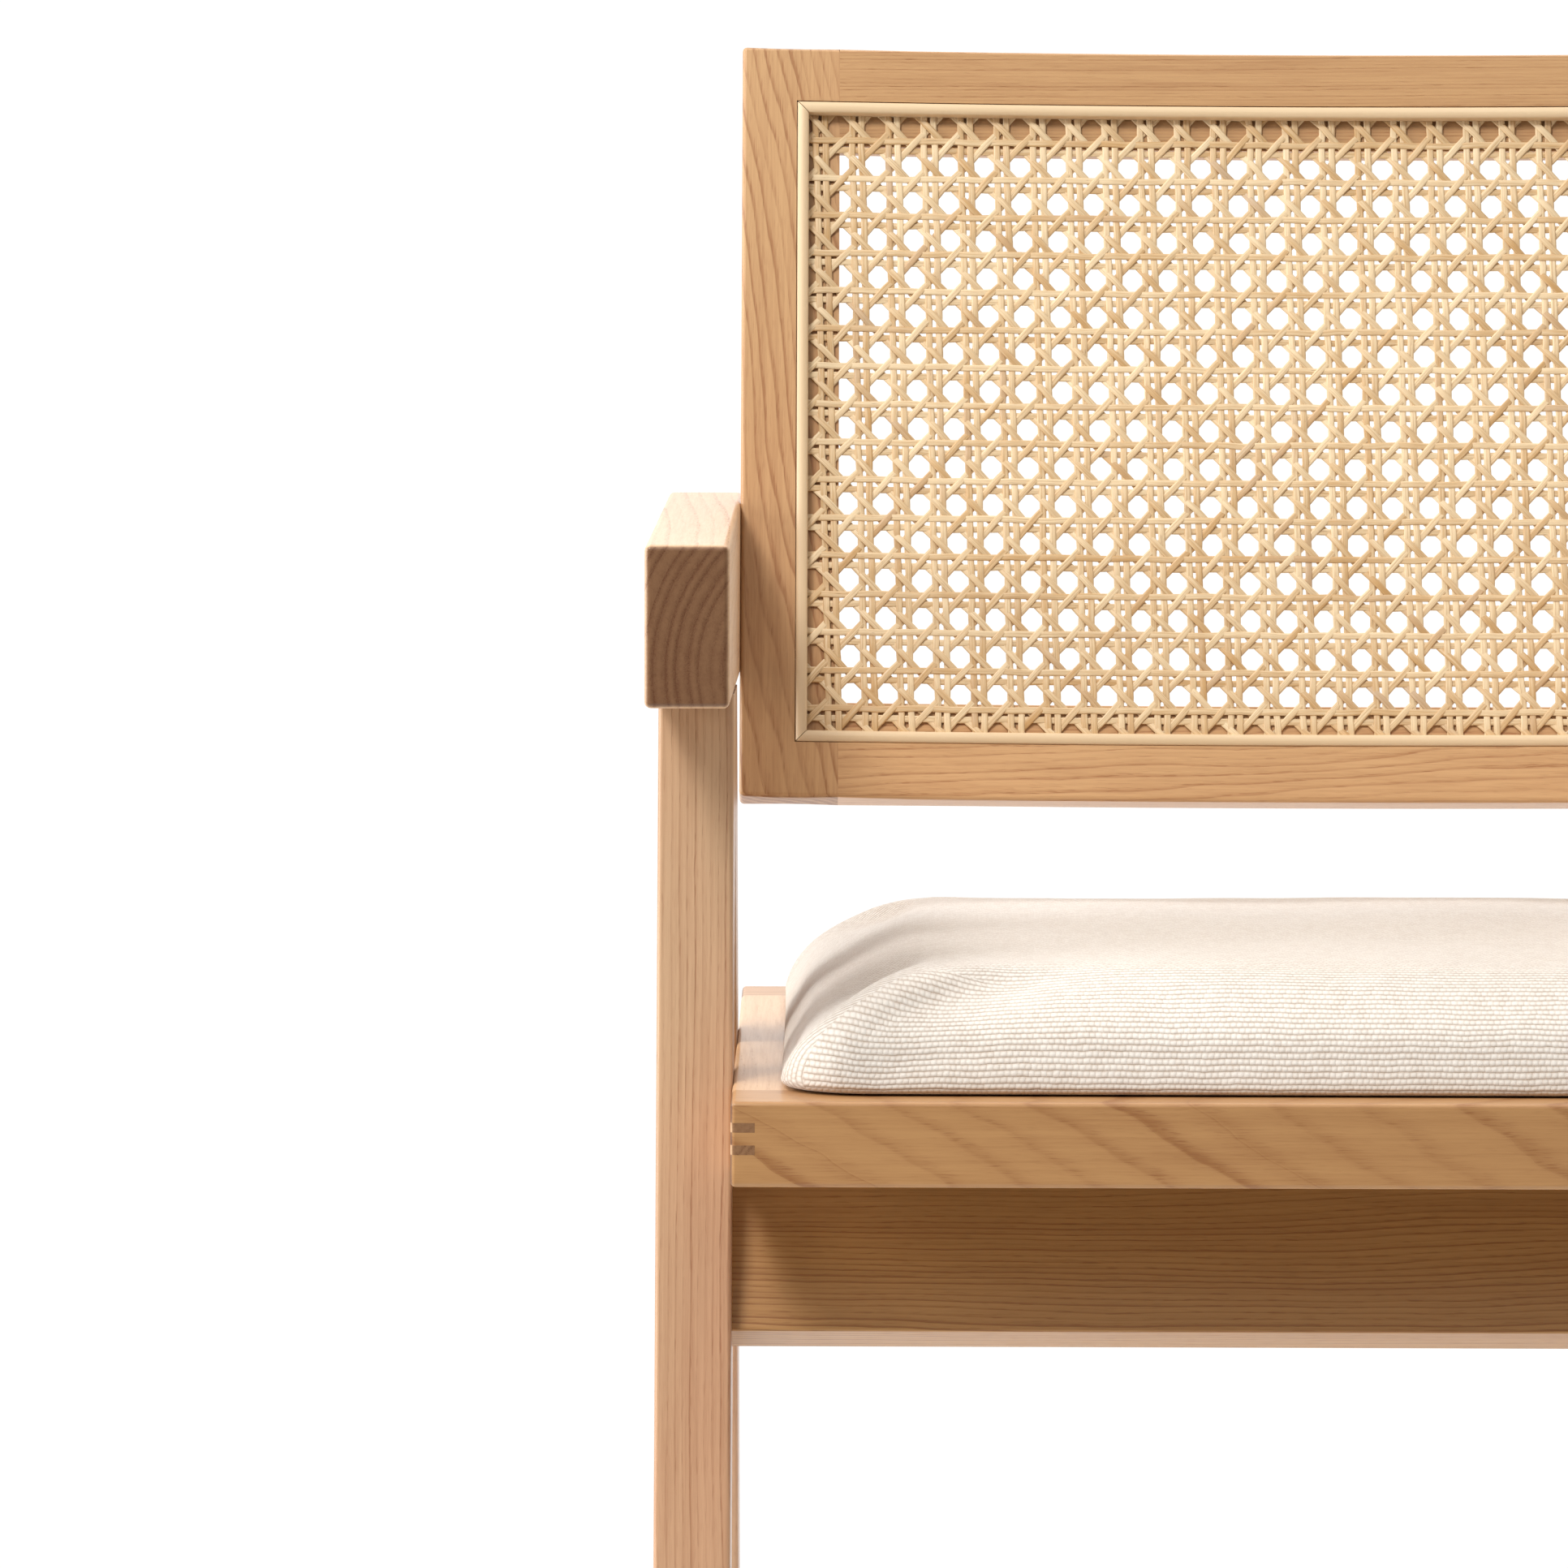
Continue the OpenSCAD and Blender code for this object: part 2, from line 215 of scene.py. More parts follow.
def plug(tree, slot, value):
    if isinstance(value, Socket):
        tree.links.new(value.output, slot)
    elif slot.type == "RGBA" and len(value) == 3:
        slot.default_value = (*value, 1.0)
    else:
        slot.default_value = value


class Graph:
    """Adds nodes to a shader or geometry tree"""

    def __init__(self, tree):
        self.tree = tree

    def add(self, kind, settings=None, inputs=None, out=0):
        """One node: its type, its settings first, then its inputs by name or number"""
        node = self.tree.nodes.new(kind)
        for name, value in (settings or {}).items():
            if name == "stops":
                self._stops(node.color_ramp, value)
            else:
                setattr(node, name, value)
        for key, value in (inputs or {}).items():
            plug(self.tree, node.inputs[key], value)
        return Socket(self.tree, node.outputs[out])

    @staticmethod
    def _stops(ramp, stops):
        while len(ramp.elements) < len(stops):
            ramp.elements.new(0.5)
        for element, (place, colour) in zip(ramp.elements, stops):
            element.position = place
            element.color = (*colour, 1.0)

    def split(self, vector):
        node = self.tree.nodes.new("ShaderNodeSeparateXYZ")
        plug(self.tree, node.inputs[0], vector)
        return [Socket(self.tree, o) for o in node.outputs]

    def join(self, x, y, z):
        return self.add("ShaderNodeCombineXYZ", None, {0: x, 1: y, 2: z})


class Finish(Graph):
    """A material with one Principled shader, whose steady inputs are set at the start"""

    def __init__(self, name, **constants):
        self.material = bpy.data.materials.new(name)
        self.material.use_nodes = True
        super().__init__(self.material.node_tree)
        self.tree.nodes.clear()
        self.shader = self.tree.nodes.new("ShaderNodeBsdfPrincipled")
        output = self.tree.nodes.new("ShaderNodeOutputMaterial")
        self.tree.links.new(self.shader.outputs[0], output.inputs["Surface"])
        for key, value in constants.items():
            plug(self.tree, self.shader.inputs[key.replace("_", " ")], value)

    def set(self, name, value):
        plug(self.tree, self.shader.inputs[name], value)

    def place(self, kind="Object"):
        node = self.tree.nodes.new("ShaderNodeTexCoord")
        return Socket(self.tree, node.outputs[kind])

    def attribute(self, name, out="Fac"):
        return self.add("ShaderNodeAttribute", {"attribute_name": name}, None, out)

    def noise(self, vector, detail=2.0, roughness=0.5):
        inputs = {"Vector": vector, "Scale": 1.0, "Detail": detail, "Roughness": roughness}
        return self.add("ShaderNodeTexNoise", None, inputs)

    def luck(self, number):
        """A value from 0 to 1 that each whole number has for its own"""
        return self.add("ShaderNodeTexWhiteNoise", {"noise_dimensions": "1D"}, {"W": number})

    def laid(self, vector, lie, centre=(0, 0, 0)):
        """A place or a direction, turned by lie so that Z runs along the grain"""
        return self.add("ShaderNodeMapping", {"vector_type": "TEXTURE"},
                        {"Vector": vector, "Location": centre, "Rotation": lie})

    def grain(self, local, across, along, detail=2.0, roughness=0.5):
        """Noise with so many waves to the metre across the grain and along it"""
        return self.noise(self.stretch(local, (across, across, along)), detail, roughness)

    def mix(self, factor, a, b, blend="MIX"):
        settings = {"data_type": "RGBA", "blend_type": blend}
        return self.add("ShaderNodeMix", settings, {0: factor, 6: a, 7: b}, 2)

    def stretch(self, vector, scale):
        return self.add("ShaderNodeVectorMath", {"operation": "MULTIPLY"}, {0: vector, 1: scale})

    def bump(self, height, strength, distance):
        inputs = {"Strength": strength, "Distance": distance, "Height": height}
        self.set("Normal", self.add("ShaderNodeBump", None, inputs))


# ---------------------------------------------------------------- materials


def ash_finish(name, lie, centre, heart=(0.09, 0.04), gap=3.0, slant=0.0, wave=1.0,
               contrast=1.0, blush=0.0, tint=(1, 1, 1), end_shade=0.95, soft=0.0):
    """Oiled ash.

    lie: the turn that lays the local Z axis along the grain
    centre: the middle of the board
    heart: the way from centre to the middle of the tree, across the grain, in metres
    gap: the width of a year's ring in millimetres
    slant: how fast the rings cross the board
    wave: how unevenly the tree grew
    contrast: how much the rings and their pores show
    blush: how pink the wood is
    tint: what its colours are multiplied by; on the stretcher, seat rails, legs and stiles it also darkens
    or warms the wood as painted shade, on the arms it lifts blue as a painted reflection
    end_shade: how much darker its end grain is
    soft: how gently each ring fades on both its sides
    """
    wood = bpy.context.scene.armchair_wood
    f = Finish(name, Specular_IOR_Level=0.22, Coat_Weight=0.45, Coat_Roughness=0.28)
    local = f.laid(f.place(), lie, centre)
    x, y, z = f.split(local)

    # How far each place is from the heart, with broad and fine unevenness
    drift = f.grain(local, 9.0, 2.6)
    shiver = f.grain(local, 70.0, 14.0)
    dx = x - heart[0] + z * slant
    dy = y - heart[1] + z * slant * 0.35
    radius = (dx * dx + dy * dy).sqrt()
    radius = radius + (drift - 0.5) * (16 * MM * wave) + (shiver - 0.5) * (2.2 * MM * wave)
    rings = radius * (1.0 / (gap * MM))
    year = rings.floor()
    season = rings.fract()

    # Early wood starts sharply and fades. On end grain, or where soft, it swells and fades evenly
    strength = f.luck(year) ** 1.4 * 0.85 + 0.22
    early = f.add("ShaderNodeValToRGB", {"stops": [
        (0.0, (0.5, 0.5, 0.5)), (0.06, (1, 1, 1)), (0.16, (0.7, 0.7, 0.7)),
        (0.34, (0.2, 0.2, 0.2)), (0.94, (0, 0, 0)), (1.0, (0.5, 0.5, 0.5))]}, {"Fac": season})
    end = abs(f.split(f.laid(f.place("Normal"), lie))[2]).ramp(0.55, 0.9)
    broad = (season * (2 * math.pi)).cos() * 0.45 + 0.45
    early = (early + (broad - early) * (end + soft).clamp()) * strength * (end * 0.8 + 1.0)

    # Pores sit in the early wood, fibres and streaks run everywhere along the grain
    pores = f.grain(local, 1700.0, 130.0, 1.0).ramp(0.54, 0.68)
    pores = pores * (early * 0.9 + 0.1)
    fibre = f.grain(local, 900.0, 22.0, 3.0, 0.65)
    streak = f.grain(local, 220.0, 5.0)
    tone = f.grain(local, 16.0, 4.0)
    depth = (early * (0.66 * contrast) + pores * (0.6 * contrast) + (fibre - 0.5) * 0.85
             + (streak - 0.5) * 0.62 + (tone - 0.5) * 0.24 + 0.1).clamp()
    colour = f.mix(depth, tuple(wood.pale), tuple(wood.ring))
    colour = f.mix(tone.ramp(0.35, 0.7) * blush, colour, (0.90, 0.74, 0.72), "MULTIPLY")
    # The board's own tint, which on some boards also carries painted shade and on the arms a painted
    # reflection
    colour = f.mix(1.0, colour, tint, "MULTIPLY")
    f.set("Base Color", f.mix(end * end_shade, colour, (0.32, 0.235, 0.175), "MULTIPLY"))
    f.set("Roughness", (0.44 + (fibre - 0.5) * 0.18 + pores * 0.25 + end * 0.18).clamp())
    f.bump(fibre * 0.35 - pores * 0.8 - early * 0.35, 0.4, 0.0003)
    return f.material


def plain_wood_finish(name, lie, pale, dark):
    """Unfinished beech or plywood, for the pieces out of sight"""
    f = Finish(name, Specular_IOR_Level=0.3)
    local = f.laid(f.place(), lie)
    fibre = f.grain(local, 700.0, 20.0, 3.0, 0.6)
    tone = f.grain(local, 40.0, 6.0)
    f.set("Base Color", f.mix((fibre * 0.6 + tone * 0.6 - 0.1).clamp(), pale, dark))
    f.set("Roughness", fibre * 0.2 + 0.55)
    f.bump(fibre, 0.3, 0.0002)
    return f.material


def cane_finish():
    """Split cane: a glossy skin whose colour changes from strand to strand and along each one"""
    cane = bpy.context.scene.armchair_cane
    f = Finish("cane_skin", Specular_IOR_Level=0.6)
    tone = f.attribute("tone")
    run = f.attribute("run")
    edge = f.attribute("edge")
    lengthwise = f.noise(f.join(edge * 2.2, run * 45.0, tone * 90.0), 3.0, 0.6)
    thread = f.noise(f.join(edge * 9.0, run * 16.0, tone * 50.0), 2.0)
    patch = f.noise(f.join(run * 11.0, tone * 70.0, 3.0), 2.0)
    speck = f.noise(f.join(edge * 3.0, run * 150.0, tone * 20.0), 2.0).ramp(0.70, 0.78)
    age = (tone * 0.65 + patch.ramp(0.38, 0.68) * 0.7 + (lengthwise - 0.5) * 1.8 - 0.25).clamp()
    colour = f.mix(age, tuple(cane.skin), (0.58, 0.34, 0.13))
    colour = f.mix(patch.ramp(0.60, 0.72) * 0.6, colour, (0.58, 0.43, 0.30))
    colour = f.mix(thread.ramp(0.48, 0.70) * 0.62, colour, (0.50, 0.31, 0.14))
    colour = f.mix(speck * 0.55, colour, (0.27, 0.15, 0.07))
    f.set("Base Color", colour)
    f.set("Roughness", 0.38 + lengthwise * 0.2)
    f.bump(thread + lengthwise * 0.5, 0.3, 0.0002)
    return f.material


def bead_finish():
    """Smooth rattan core, with fine lines along it"""
    cane = bpy.context.scene.armchair_cane
    f = Finish("reed_bead", Specular_IOR_Level=0.45)
    uv = f.place("UV")
    lines = f.noise(f.stretch(uv, (22.0, 2600.0, 1.0)), 3.0, 0.6)
    tone = f.noise(f.stretch(uv, (9.0, 60.0, 1.0)), 2.0)
    age = (lines * 0.55 + tone * 0.5 - 0.2).clamp()
    f.set("Base Color", f.mix(age, tuple(cane.bead), (0.66, 0.45, 0.24)))
    f.set("Roughness", lines * 0.15 + 0.34)
    f.bump(lines, 0.25, 0.0002)
    return f.material


def cover_finish():
    """Chunky cream cloth: ribs across the seat, each a row of thread knots"""
    pad = bpy.context.scene.armchair_pad
    f = Finish("cream_cover", Roughness=0.93, Specular_IOR_Level=0.18,
               Sheen_Weight=0.5, Sheen_Roughness=0.5)
    u, v, _ = f.split(f.place("UV"))
    wander = f.noise(f.join(u * 45.0, v * 45.0, 0.0), 2.0) - 0.5
    slub = f.noise(f.join(u * 260.0, v * 300.0, 4.0), 2.0) - 0.5
    rib = v * (1.0 / pad.rib_pitch) + wander * 0.8 + slub * 0.22
    row = rib.floor()
    shift = f.luck(row)
    knot = u * (1.0 / pad.knot_pitch) + (row % 2.0) * 0.5 + shift * 0.22 + wander * 1.2 + slub * 0.3
    rib_height = abs((rib * math.pi).sin()) ** 0.8
    knot_height = abs((knot * math.pi).sin()) ** 0.7
    fluff = f.noise(f.join(u * 2100.0, v * 2100.0, 1.0), 3.0, 0.65)
    thread = f.add("ShaderNodeTexWhiteNoise", {"noise_dimensions": "2D"},
                   {"Vector": f.join(knot.floor(), row, 0.0)})
    height = rib_height * (knot_height * 0.5 + 0.5)
    lit = (height * 1.05 + (thread - 0.5) * 0.25 + (fluff - 0.5) * 0.7).clamp()
    soil = f.noise(f.join(u * 9.0, v * 9.0, 2.0), 3.0)
    # Painted shade: the cover is darkened in the grooves between the ribs and knots
    groove_shade = (0.42, 0.32, 0.24)
    colour = f.mix(lit ** 0.7, groove_shade, tuple(pad.cloth))
    colour = f.mix(soil.ramp(0.35, 0.75) * 0.25, colour, (0.90, 0.86, 0.80), "MULTIPLY")
    f.set("Base Color", colour)
    f.bump(height + fluff * 0.25, 0.55, 0.0007)
    return f.material


def steel_finish():
    f = Finish("zinc_steel", Metallic=1.0)
    brushed = f.noise(f.stretch(f.place(), (400.0, 2000.0, 2000.0)), 2.0)
    f.set("Base Color", f.mix(brushed, (0.62, 0.61, 0.58), (0.48, 0.48, 0.47)))
    f.set("Roughness", brushed * 0.2 + 0.28)
    return f.material


def glide_finish():
    f = Finish("glide_nylon")
    scuff = f.noise(f.stretch(f.place(), (500.0, 500.0, 500.0)), 3.0)
    f.set("Base Color", f.mix(scuff, (0.055, 0.048, 0.042), (0.10, 0.09, 0.08)))
    f.set("Roughness", scuff * 0.25 + 0.45)
    f.bump(scuff, 0.2, 0.0002)
    return f.material


# ---------------------------------------------------------------- mesh helpers


def add_piece(name, mesh, material, slot, *replaced):
    """Links a finished mesh, and says what it rides on, what it replaces and what it is made of"""
    piece = bpy.data.objects.new(name, mesh)
    bpy.context.scene.collection.objects.link(piece)
    mesh.materials.clear()
    mesh.materials.append(material)
    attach(piece, BODY)
    if replaced:
        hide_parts(*replaced)
    return piece


def to_mesh(bm, name, smooth_angle=35):
    """A mesh with its faces outward, smooth except across edges sharper than smooth_angle"""
    bmesh.ops.recalc_face_normals(bm, faces=bm.faces)
    for face in bm.faces:
        face.smooth = True
    for edge in bm.edges:
        edge.smooth = edge.calc_face_angle(0) < math.radians(smooth_angle)
    mesh = bpy.data.meshes.new(name)
    bm.to_mesh(mesh)
    bm.free()
    # Normals that came along with a CAD mesh no longer fit the rounded one
    stale = mesh.attributes.get("custom_normal")
    if stale:
        mesh.attributes.remove(stale)
    return mesh


def add_board(name, bm, node, lie, **figure):
    """An ash board that replaces a CAD node, its grain laid by lie and placed by the node's middle"""
    finish = ash_finish("ash_" + node, lie, middle_of(node), **figure)
    piece = add_piece(name, to_mesh(bm, node), finish, "ash", node)
    # Normals weighted by face area, so a rounded edge doesn't shade the flat beside it
    weighted = piece.modifiers.new("Weighted normals", "WEIGHTED_NORMAL")
    weighted.keep_sharp = True
    weighted.weight = 80


def is_sharp(edge, degrees=25):
    return len(edge.link_faces) == 2 and edge.calc_face_angle(0) > math.radians(degrees)


def round_edges(bm, edges, radius, segments=3):
    bmesh.ops.bevel(bm, geom=list(edges), offset=radius, offset_type="OFFSET", segments=segments,
                    profile=0.5, affect="EDGES", clamp_overlap=True)


def plain_form(node):
    """The flat-sided outer form of a CAD node, with no bores"""
    bm = bmesh.new()
    for v in NODES[node].data.vertices:
        bm.verts.new(v.co)
    bmesh.ops.remove_doubles(bm, verts=bm.verts, dist=0.01 * MM)
    hull = bmesh.ops.convex_hull(bm, input=bm.verts)
    spare = [g for g in hull["geom_interior"] + hull["geom_unused"] if isinstance(g, bmesh.types.BMVert)]
    bmesh.ops.delete(bm, geom=list(set(spare)), context="VERTS")
    bmesh.ops.dissolve_limit(bm, angle_limit=math.radians(0.5), verts=bm.verts, edges=bm.edges)
    return bm


def box_form(lo, hi):
    bm = bmesh.new()
    middle = (Vector(lo) + Vector(hi)) / 2
    size = Vector(hi) - Vector(lo)
    bmesh.ops.create_cube(bm, size=1, matrix=Matrix.Translation(middle) @ Matrix.Diagonal((*size, 1)))
    return bm


def merged_form(node):
    """A CAD node's own form, bores and recesses included, as one clean shell"""
    bm = bmesh.new()
    bm.from_mesh(NODES[node].data)
    bmesh.ops.remove_doubles(bm, verts=bm.verts, dist=0.005 * MM)
    # Only faces in one plane are joined, so that the bowed rails keep their bow
    bmesh.ops.dissolve_limit(bm, angle_limit=math.radians(0.03), verts=bm.verts, edges=bm.edges)
    return bm


def back_matrix():
    """From the back's own frame, X across, Y behind its face and Z up its lean, to the chair's"""
    foot = Vector((0, _back_foot.y, _back_foot.z))
    return Matrix.Translation(foot) @ Matrix.Rotation(-BACK_LEAN, 4, "X")


def lay_on_back(mesh):
    """Bends a flat mesh, X across, Y up the lean and Z towards the sitter, onto the back's face"""
    co = np.empty(len(mesh.vertices) * 3)
    mesh.vertices.foreach_get("co", co)
    co = co.reshape(-1, 3)
    across, up, out = co.T
    behind = BACK_SAG - BACK_R + np.sqrt(BACK_R ** 2 - across ** 2) - out
    laid = np.column_stack([
        across,
        _back_foot.y + up * math.sin(BACK_LEAN) + behind * math.cos(BACK_LEAN),
        _back_foot.z + up * math.cos(BACK_LEAN) - behind * math.sin(BACK_LEAN),
    ])
    mesh.vertices.foreach_set("co", laid.ravel())
    mesh.update()
    # Up the lean and towards the sitter make a left-handed pair with across
    if is_inside_out(mesh):
        mesh.flip_normals()


def is_inside_out(mesh):
    """Whether a closed mesh encloses a negative volume"""
    bm = bmesh.new()
    bm.from_mesh(mesh)
    volume = bm.calc_volume(signed=True)
    bm.free()
    return volume < 0


def middle_of(node):
    lo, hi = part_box(node)
    return (lo + hi) / 2


# Turns that lay the grain along the chair's depth, across it, and up a leaning piece
ALONG_DEPTH = (math.radians(-90), 0, 0)
ACROSS = (0, math.radians(90), 0)


def up_leaning(radians_back):
    return (-radians_back, 0, 0)


# ---------------------------------------------------------------- pieces


class ARMCHAIR_OT_side_frames(bpy.types.Operator):
    """Arms and legs, with rounded edges and grain along each board"""

    bl_idname = "armchair.side_frames"
    bl_label = "Side frames"

    # Only the arms' edges longer than this are rounded, which leaves out the rims of their bores
    shortest = 25 * MM
    # The arms' edges are this much rounder than the other boards'
    rounder = 1.3
    # The legs' edges this near their tops stay sharp, where they meet the arm
    sharp_top = 8 * MM
    # A leg's foot and its top are looked for in slices this thick
    foot_slice = 1 * MM
    top_slice = 6 * MM

    def execute(self, context):
        radius = context.scene.armchair_wood.edge_radius
        for side, sign in (("left", -1), ("right", 1)):
            self.arm(side, sign, radius)
            self.leg(side, sign, "front", radius)
            self.leg(side, sign, "rear", radius)
        return {"FINISHED"}

    def arm(self, side, sign, radius):
        node = "arm_" + side
        bm = merged_form(node)
        long_edges = [
            e for e in bm.edges if is_sharp(e) and e.is_convex and e.calc_length() > self.shortest]
        round_edges(bm, long_edges, radius * self.rounder, 4)
        # Partly painted reflection: the arms' tint lifts blue so their tops, seen at a grazing angle, come
        # out whiter, as a reflection of the white studio would make them
        add_board("armrest_" + side, bm, node, ALONG_DEPTH, heart=(-0.055 * sign, 0.010),
                  gap=4.3, slant=0.02, wave=0.45, contrast=0.75, tint=(0.98, 1.0, 1.08))

    def leg(self, side, sign, end, radius):
        node = f"{end}_leg_{side}"
        bm = plain_form(node)
        lo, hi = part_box(node)
        under_arm = [e for e in bm.edges if all(v.co.z > hi.z - self.sharp_top for v in e.verts)]
        edges = [e for e in bm.edges if is_sharp(e) and e not in under_arm]
        round_edges(bm, edges, radius)
        lean = math.atan2(self.run(node), hi.z - lo.z)
        heart = (0.12 * sign, 0.03) if end == "front" else (-0.09 * sign, 0.05)
        # Partly painted shade: the legs' tint takes some red out so their low front faces come out darker,
        # as the dimmer light there would make them
        add_board(f"leg_{end}_{side}", bm, node, up_leaning(lean), heart=heart, gap=2.7, slant=0.006,
                  wave=0.9, contrast=1.2, blush=0.75, tint=(0.90, 0.93, 1.02))

    def run(self, node):
        """How far a leg goes back from its foot to its top"""
        points = [v.co for v in NODES[node].data.vertices]
        low = min(p.z for p in points)
        high = max(p.z for p in points)
        foot = [p.y for p in points if p.z < low + self.foot_slice]
        top = [p.y for p in points if p.z > high - self.top_slice]
        return (min(top) + max(top) - min(foot) - max(foot)) / 2


class ARMCHAIR_OT_stretcher(bpy.types.Operator):
    """Leaning board between the front legs"""

    bl_idname = "armchair.stretcher"
    bl_label = "Stretcher"

    radius = 1 * MM

    def execute(self, context):
        bm = plain_form("stretcher")
        ends = [e for e in bm.edges if abs(e.verts[0].co.x - e.verts[1].co.x) < 1 * MM]
        round_edges(bm, [e for e in bm.edges if is_sharp(e) and e not in ends], self.radius)
        # Painted shade: the stretcher's dark, saturated tint stands for the shade under the seat's front
        # rail
        add_board("stretcher_board", bm, "stretcher", ACROSS, heart=(0.16, 0.03),
                  gap=1.9, slant=0.004, wave=1.2, contrast=2.2, tint=(0.71, 0.59, 0.37))
        return {"FINISHED"}


class ARMCHAIR_OT_seat_frame(bpy.types.Operator):
    """Four rails with finger joints at the corners"""

    bl_idname = "armchair.seat_frame"
    bl_label = "Seat frame"

    finger_width = 9 * MM
    finger_height = 3.6 * MM
    finger_gap = 4.8 * MM
    finger_drop = 7.8 * MM
    finger_proud = 0.06 * MM
    # How far a finger goes into the front or rear rail, from the frame's outer face
    finger_reach = 30 * MM

    def execute(self, context):
        radius = context.scene.armchair_wood.edge_radius
        self.cross_rail("seat_front_rail", radius, -1)
        self.cross_rail("seat_rear_rail", radius, 1)
        for side, sign in (("left", -1), ("right", 1)):
            self.side_rail("seat_side_rail_" + side, sign, radius)
        return {"FINISHED"}

    def cross_rail(self, node, radius, outward):
        lo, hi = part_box(node)
        bm = box_form(lo, hi)
        joint_y = lo.y if outward > 0 else hi.y
        joint = [e for e in bm.edges if all(abs(v.co.y - joint_y) < 0.1 * MM for v in e.verts)]
        round_edges(bm, [e for e in bm.edges if e not in joint], radius, 4)
        # The front rail shows broad slanting bands, as a flat-sawn board does
        if outward < 0:
            figure = {"heart": (0.5, 0.1), "gap": 19, "slant": -0.6, "wave": 4.2, "soft": 0.3}
        else:
            figure = {"heart": (0.02, -0.05), "gap": 3.2, "slant": 0.03, "wave": 1.2}
        # Partly painted shade: this dark, saturated tint also darkens the rails' low front face as the
        # dim, warm light there would
        add_board(node + "_board", bm, node, ACROSS, contrast=1.5, tint=(0.74, 0.635, 0.475), **figure)

    def side_rail(self, node, sign, radius):
        lo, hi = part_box(node)
        front_lo, front_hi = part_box("seat_front_rail")
        rail = front_hi.y - front_lo.y
        bm = box_form((lo.x, lo.y + rail, lo.z), (hi.x, hi.y - rail, hi.z))
        lengthwise = [e for e in bm.edges if abs(e.verts[0].co.y - e.verts[1].co.y) > rail]
        round_edges(bm, lengthwise, radius, 4)
        outer_x = hi.x if sign > 0 else lo.x
        first_top = hi.z - self.finger_drop
        for top in (first_top, first_top - self.finger_height - self.finger_gap):
            for end_y, inward in ((lo.y, 1), (hi.y, -1)):
                self.finger(bm, outer_x, sign, end_y, inward, top, radius)
        add_board(node + "_board", bm, node, ALONG_DEPTH, heart=(0.03, 0.05),
                  gap=2.8, slant=0.02, wave=0.8, contrast=0.5, end_shade=0.85)

    def finger(self, bm, outer_x, sign, end_y, inward, top, radius):
        """One finger of the corner joint, a hair proud of the rail that it goes into"""
        xs = (outer_x + sign * self.finger_proud, outer_x - sign * self.finger_width)
        ys = (end_y - inward * self.finger_proud, end_y + inward * self.finger_reach)
        lo = (min(xs), min(ys), top - self.finger_height)
        hi = (max(xs), max(ys), top)
        part = box_form(lo, hi)
        corner = [e for e in part.edges if all(
            abs(v.co.x - xs[0]) < 0.01 * MM and abs(v.co.y - ys[0]) < 0.01 * MM for v in e.verts)]
        round_edges(part, corner, radius, 4)
        spare = bpy.data.meshes.new("finger")
        part.to_mesh(spare)
        part.free()
        bm.from_mesh(spare)
        bpy.data.meshes.remove(spare)


class ARMCHAIR_OT_back_frame(bpy.types.Operator):
    """Stiles and rails of the back, recessed for the cane"""

    bl_idname = "armchair.back_frame"
    bl_label = "Back frame"

    inner_radius = 0.7 * MM

    def execute(self, context):
        radius = context.scene.armchair_wood.edge_radius
        lean = up_leaning(BACK_LEAN)
        across = tuple((Euler(lean).to_matrix() @ Euler(ACROSS).to_matrix()).to_euler())
        # Partly painted shade: the stiles' tint takes out blue for the warm bounced light on their shaded
        # faces
        stile = {"lie": lean, "gap": 4.2, "blush": 0.3, "tint": (0.98, 0.94, 0.84)}
        boards = {
            "back_stile_left": dict(stile, heart=(-0.11, 0.06), slant=0.24, wave=2.4, contrast=2.0),
            "back_stile_right": dict(stile, heart=(0.12, 0.05), slant=-0.18, wave=2.2, contrast=1.9),
            "back_top_rail": dict(lie=across, heart=(0.14, 0.03), gap=1.4, slant=0.003, wave=0.35,
                                  contrast=0.9, tint=(0.90, 0.83, 0.70)),
            "back_bottom_rail": dict(lie=across, heart=(0.045, 0.05), gap=2.3, slant=0.01, wave=1.9,
                                     contrast=1.4, tint=(1.05, 1.0, 0.90)),
        }
        for node, figure in boards.items():
            bm = merged_form(node)
            bm.transform(back_matrix().inverted())
            outer = [e for e in bm.edges if is_sharp(e) and e.is_convex and self.outer(e)]
            inner = [e for e in bm.edges if is_sharp(e) and e.is_convex and self.opening(e)]
            round_edges(bm, outer, radius)
            round_edges(bm, [e for e in inner if e.is_valid], self.inner_radius, 2)
            bm.transform(back_matrix())
            add_board(node + "_board", bm, node, end_shade=0.35, **figure)
        return {"FINISHED"}

    @staticmethod
    def outer(edge):
        """Whether an edge lies on the back's outline"""
        def on_outline(co):
            return abs(co.x) > BACK_HALF - 1 * MM or co.z < 1 * MM or co.z > BACK_LEN - 1 * MM
        if edge.calc_length() < BORE_EDGE:
            return False
        at_joint = all(abs(abs(v.co.x) - (BACK_HALF - BACK_MEMBER)) < NEAR for v in edge.verts)
        return all(on_outline(v.co) for v in edge.verts) and not at_joint

    @staticmethod
    def opening(edge):
        """Whether an edge lies on the rim of the opening behind the cane"""
        reach = BACK_HALF - BACK_MEMBER
        sides = [abs(abs(v.co.x) - reach) < NEAR for v in edge.verts]
        ends = [min(abs(v.co.z - BACK_MEMBER), abs(v.co.z - BACK_LEN + BACK_MEMBER)) < NEAR
                for v in edge.verts]
        inside = all(BACK_MEMBER - 1 * MM < v.co.z < BACK_LEN - BACK_MEMBER + 1 * MM for v in edge.verts)
        level = abs(edge.verts[0].co.z - edge.verts[1].co.z) < NEAR
        if edge.calc_length() < BORE_EDGE or not inside:
            return False
        return (all(sides) and not level) or (all(ends) and level and not all(sides))


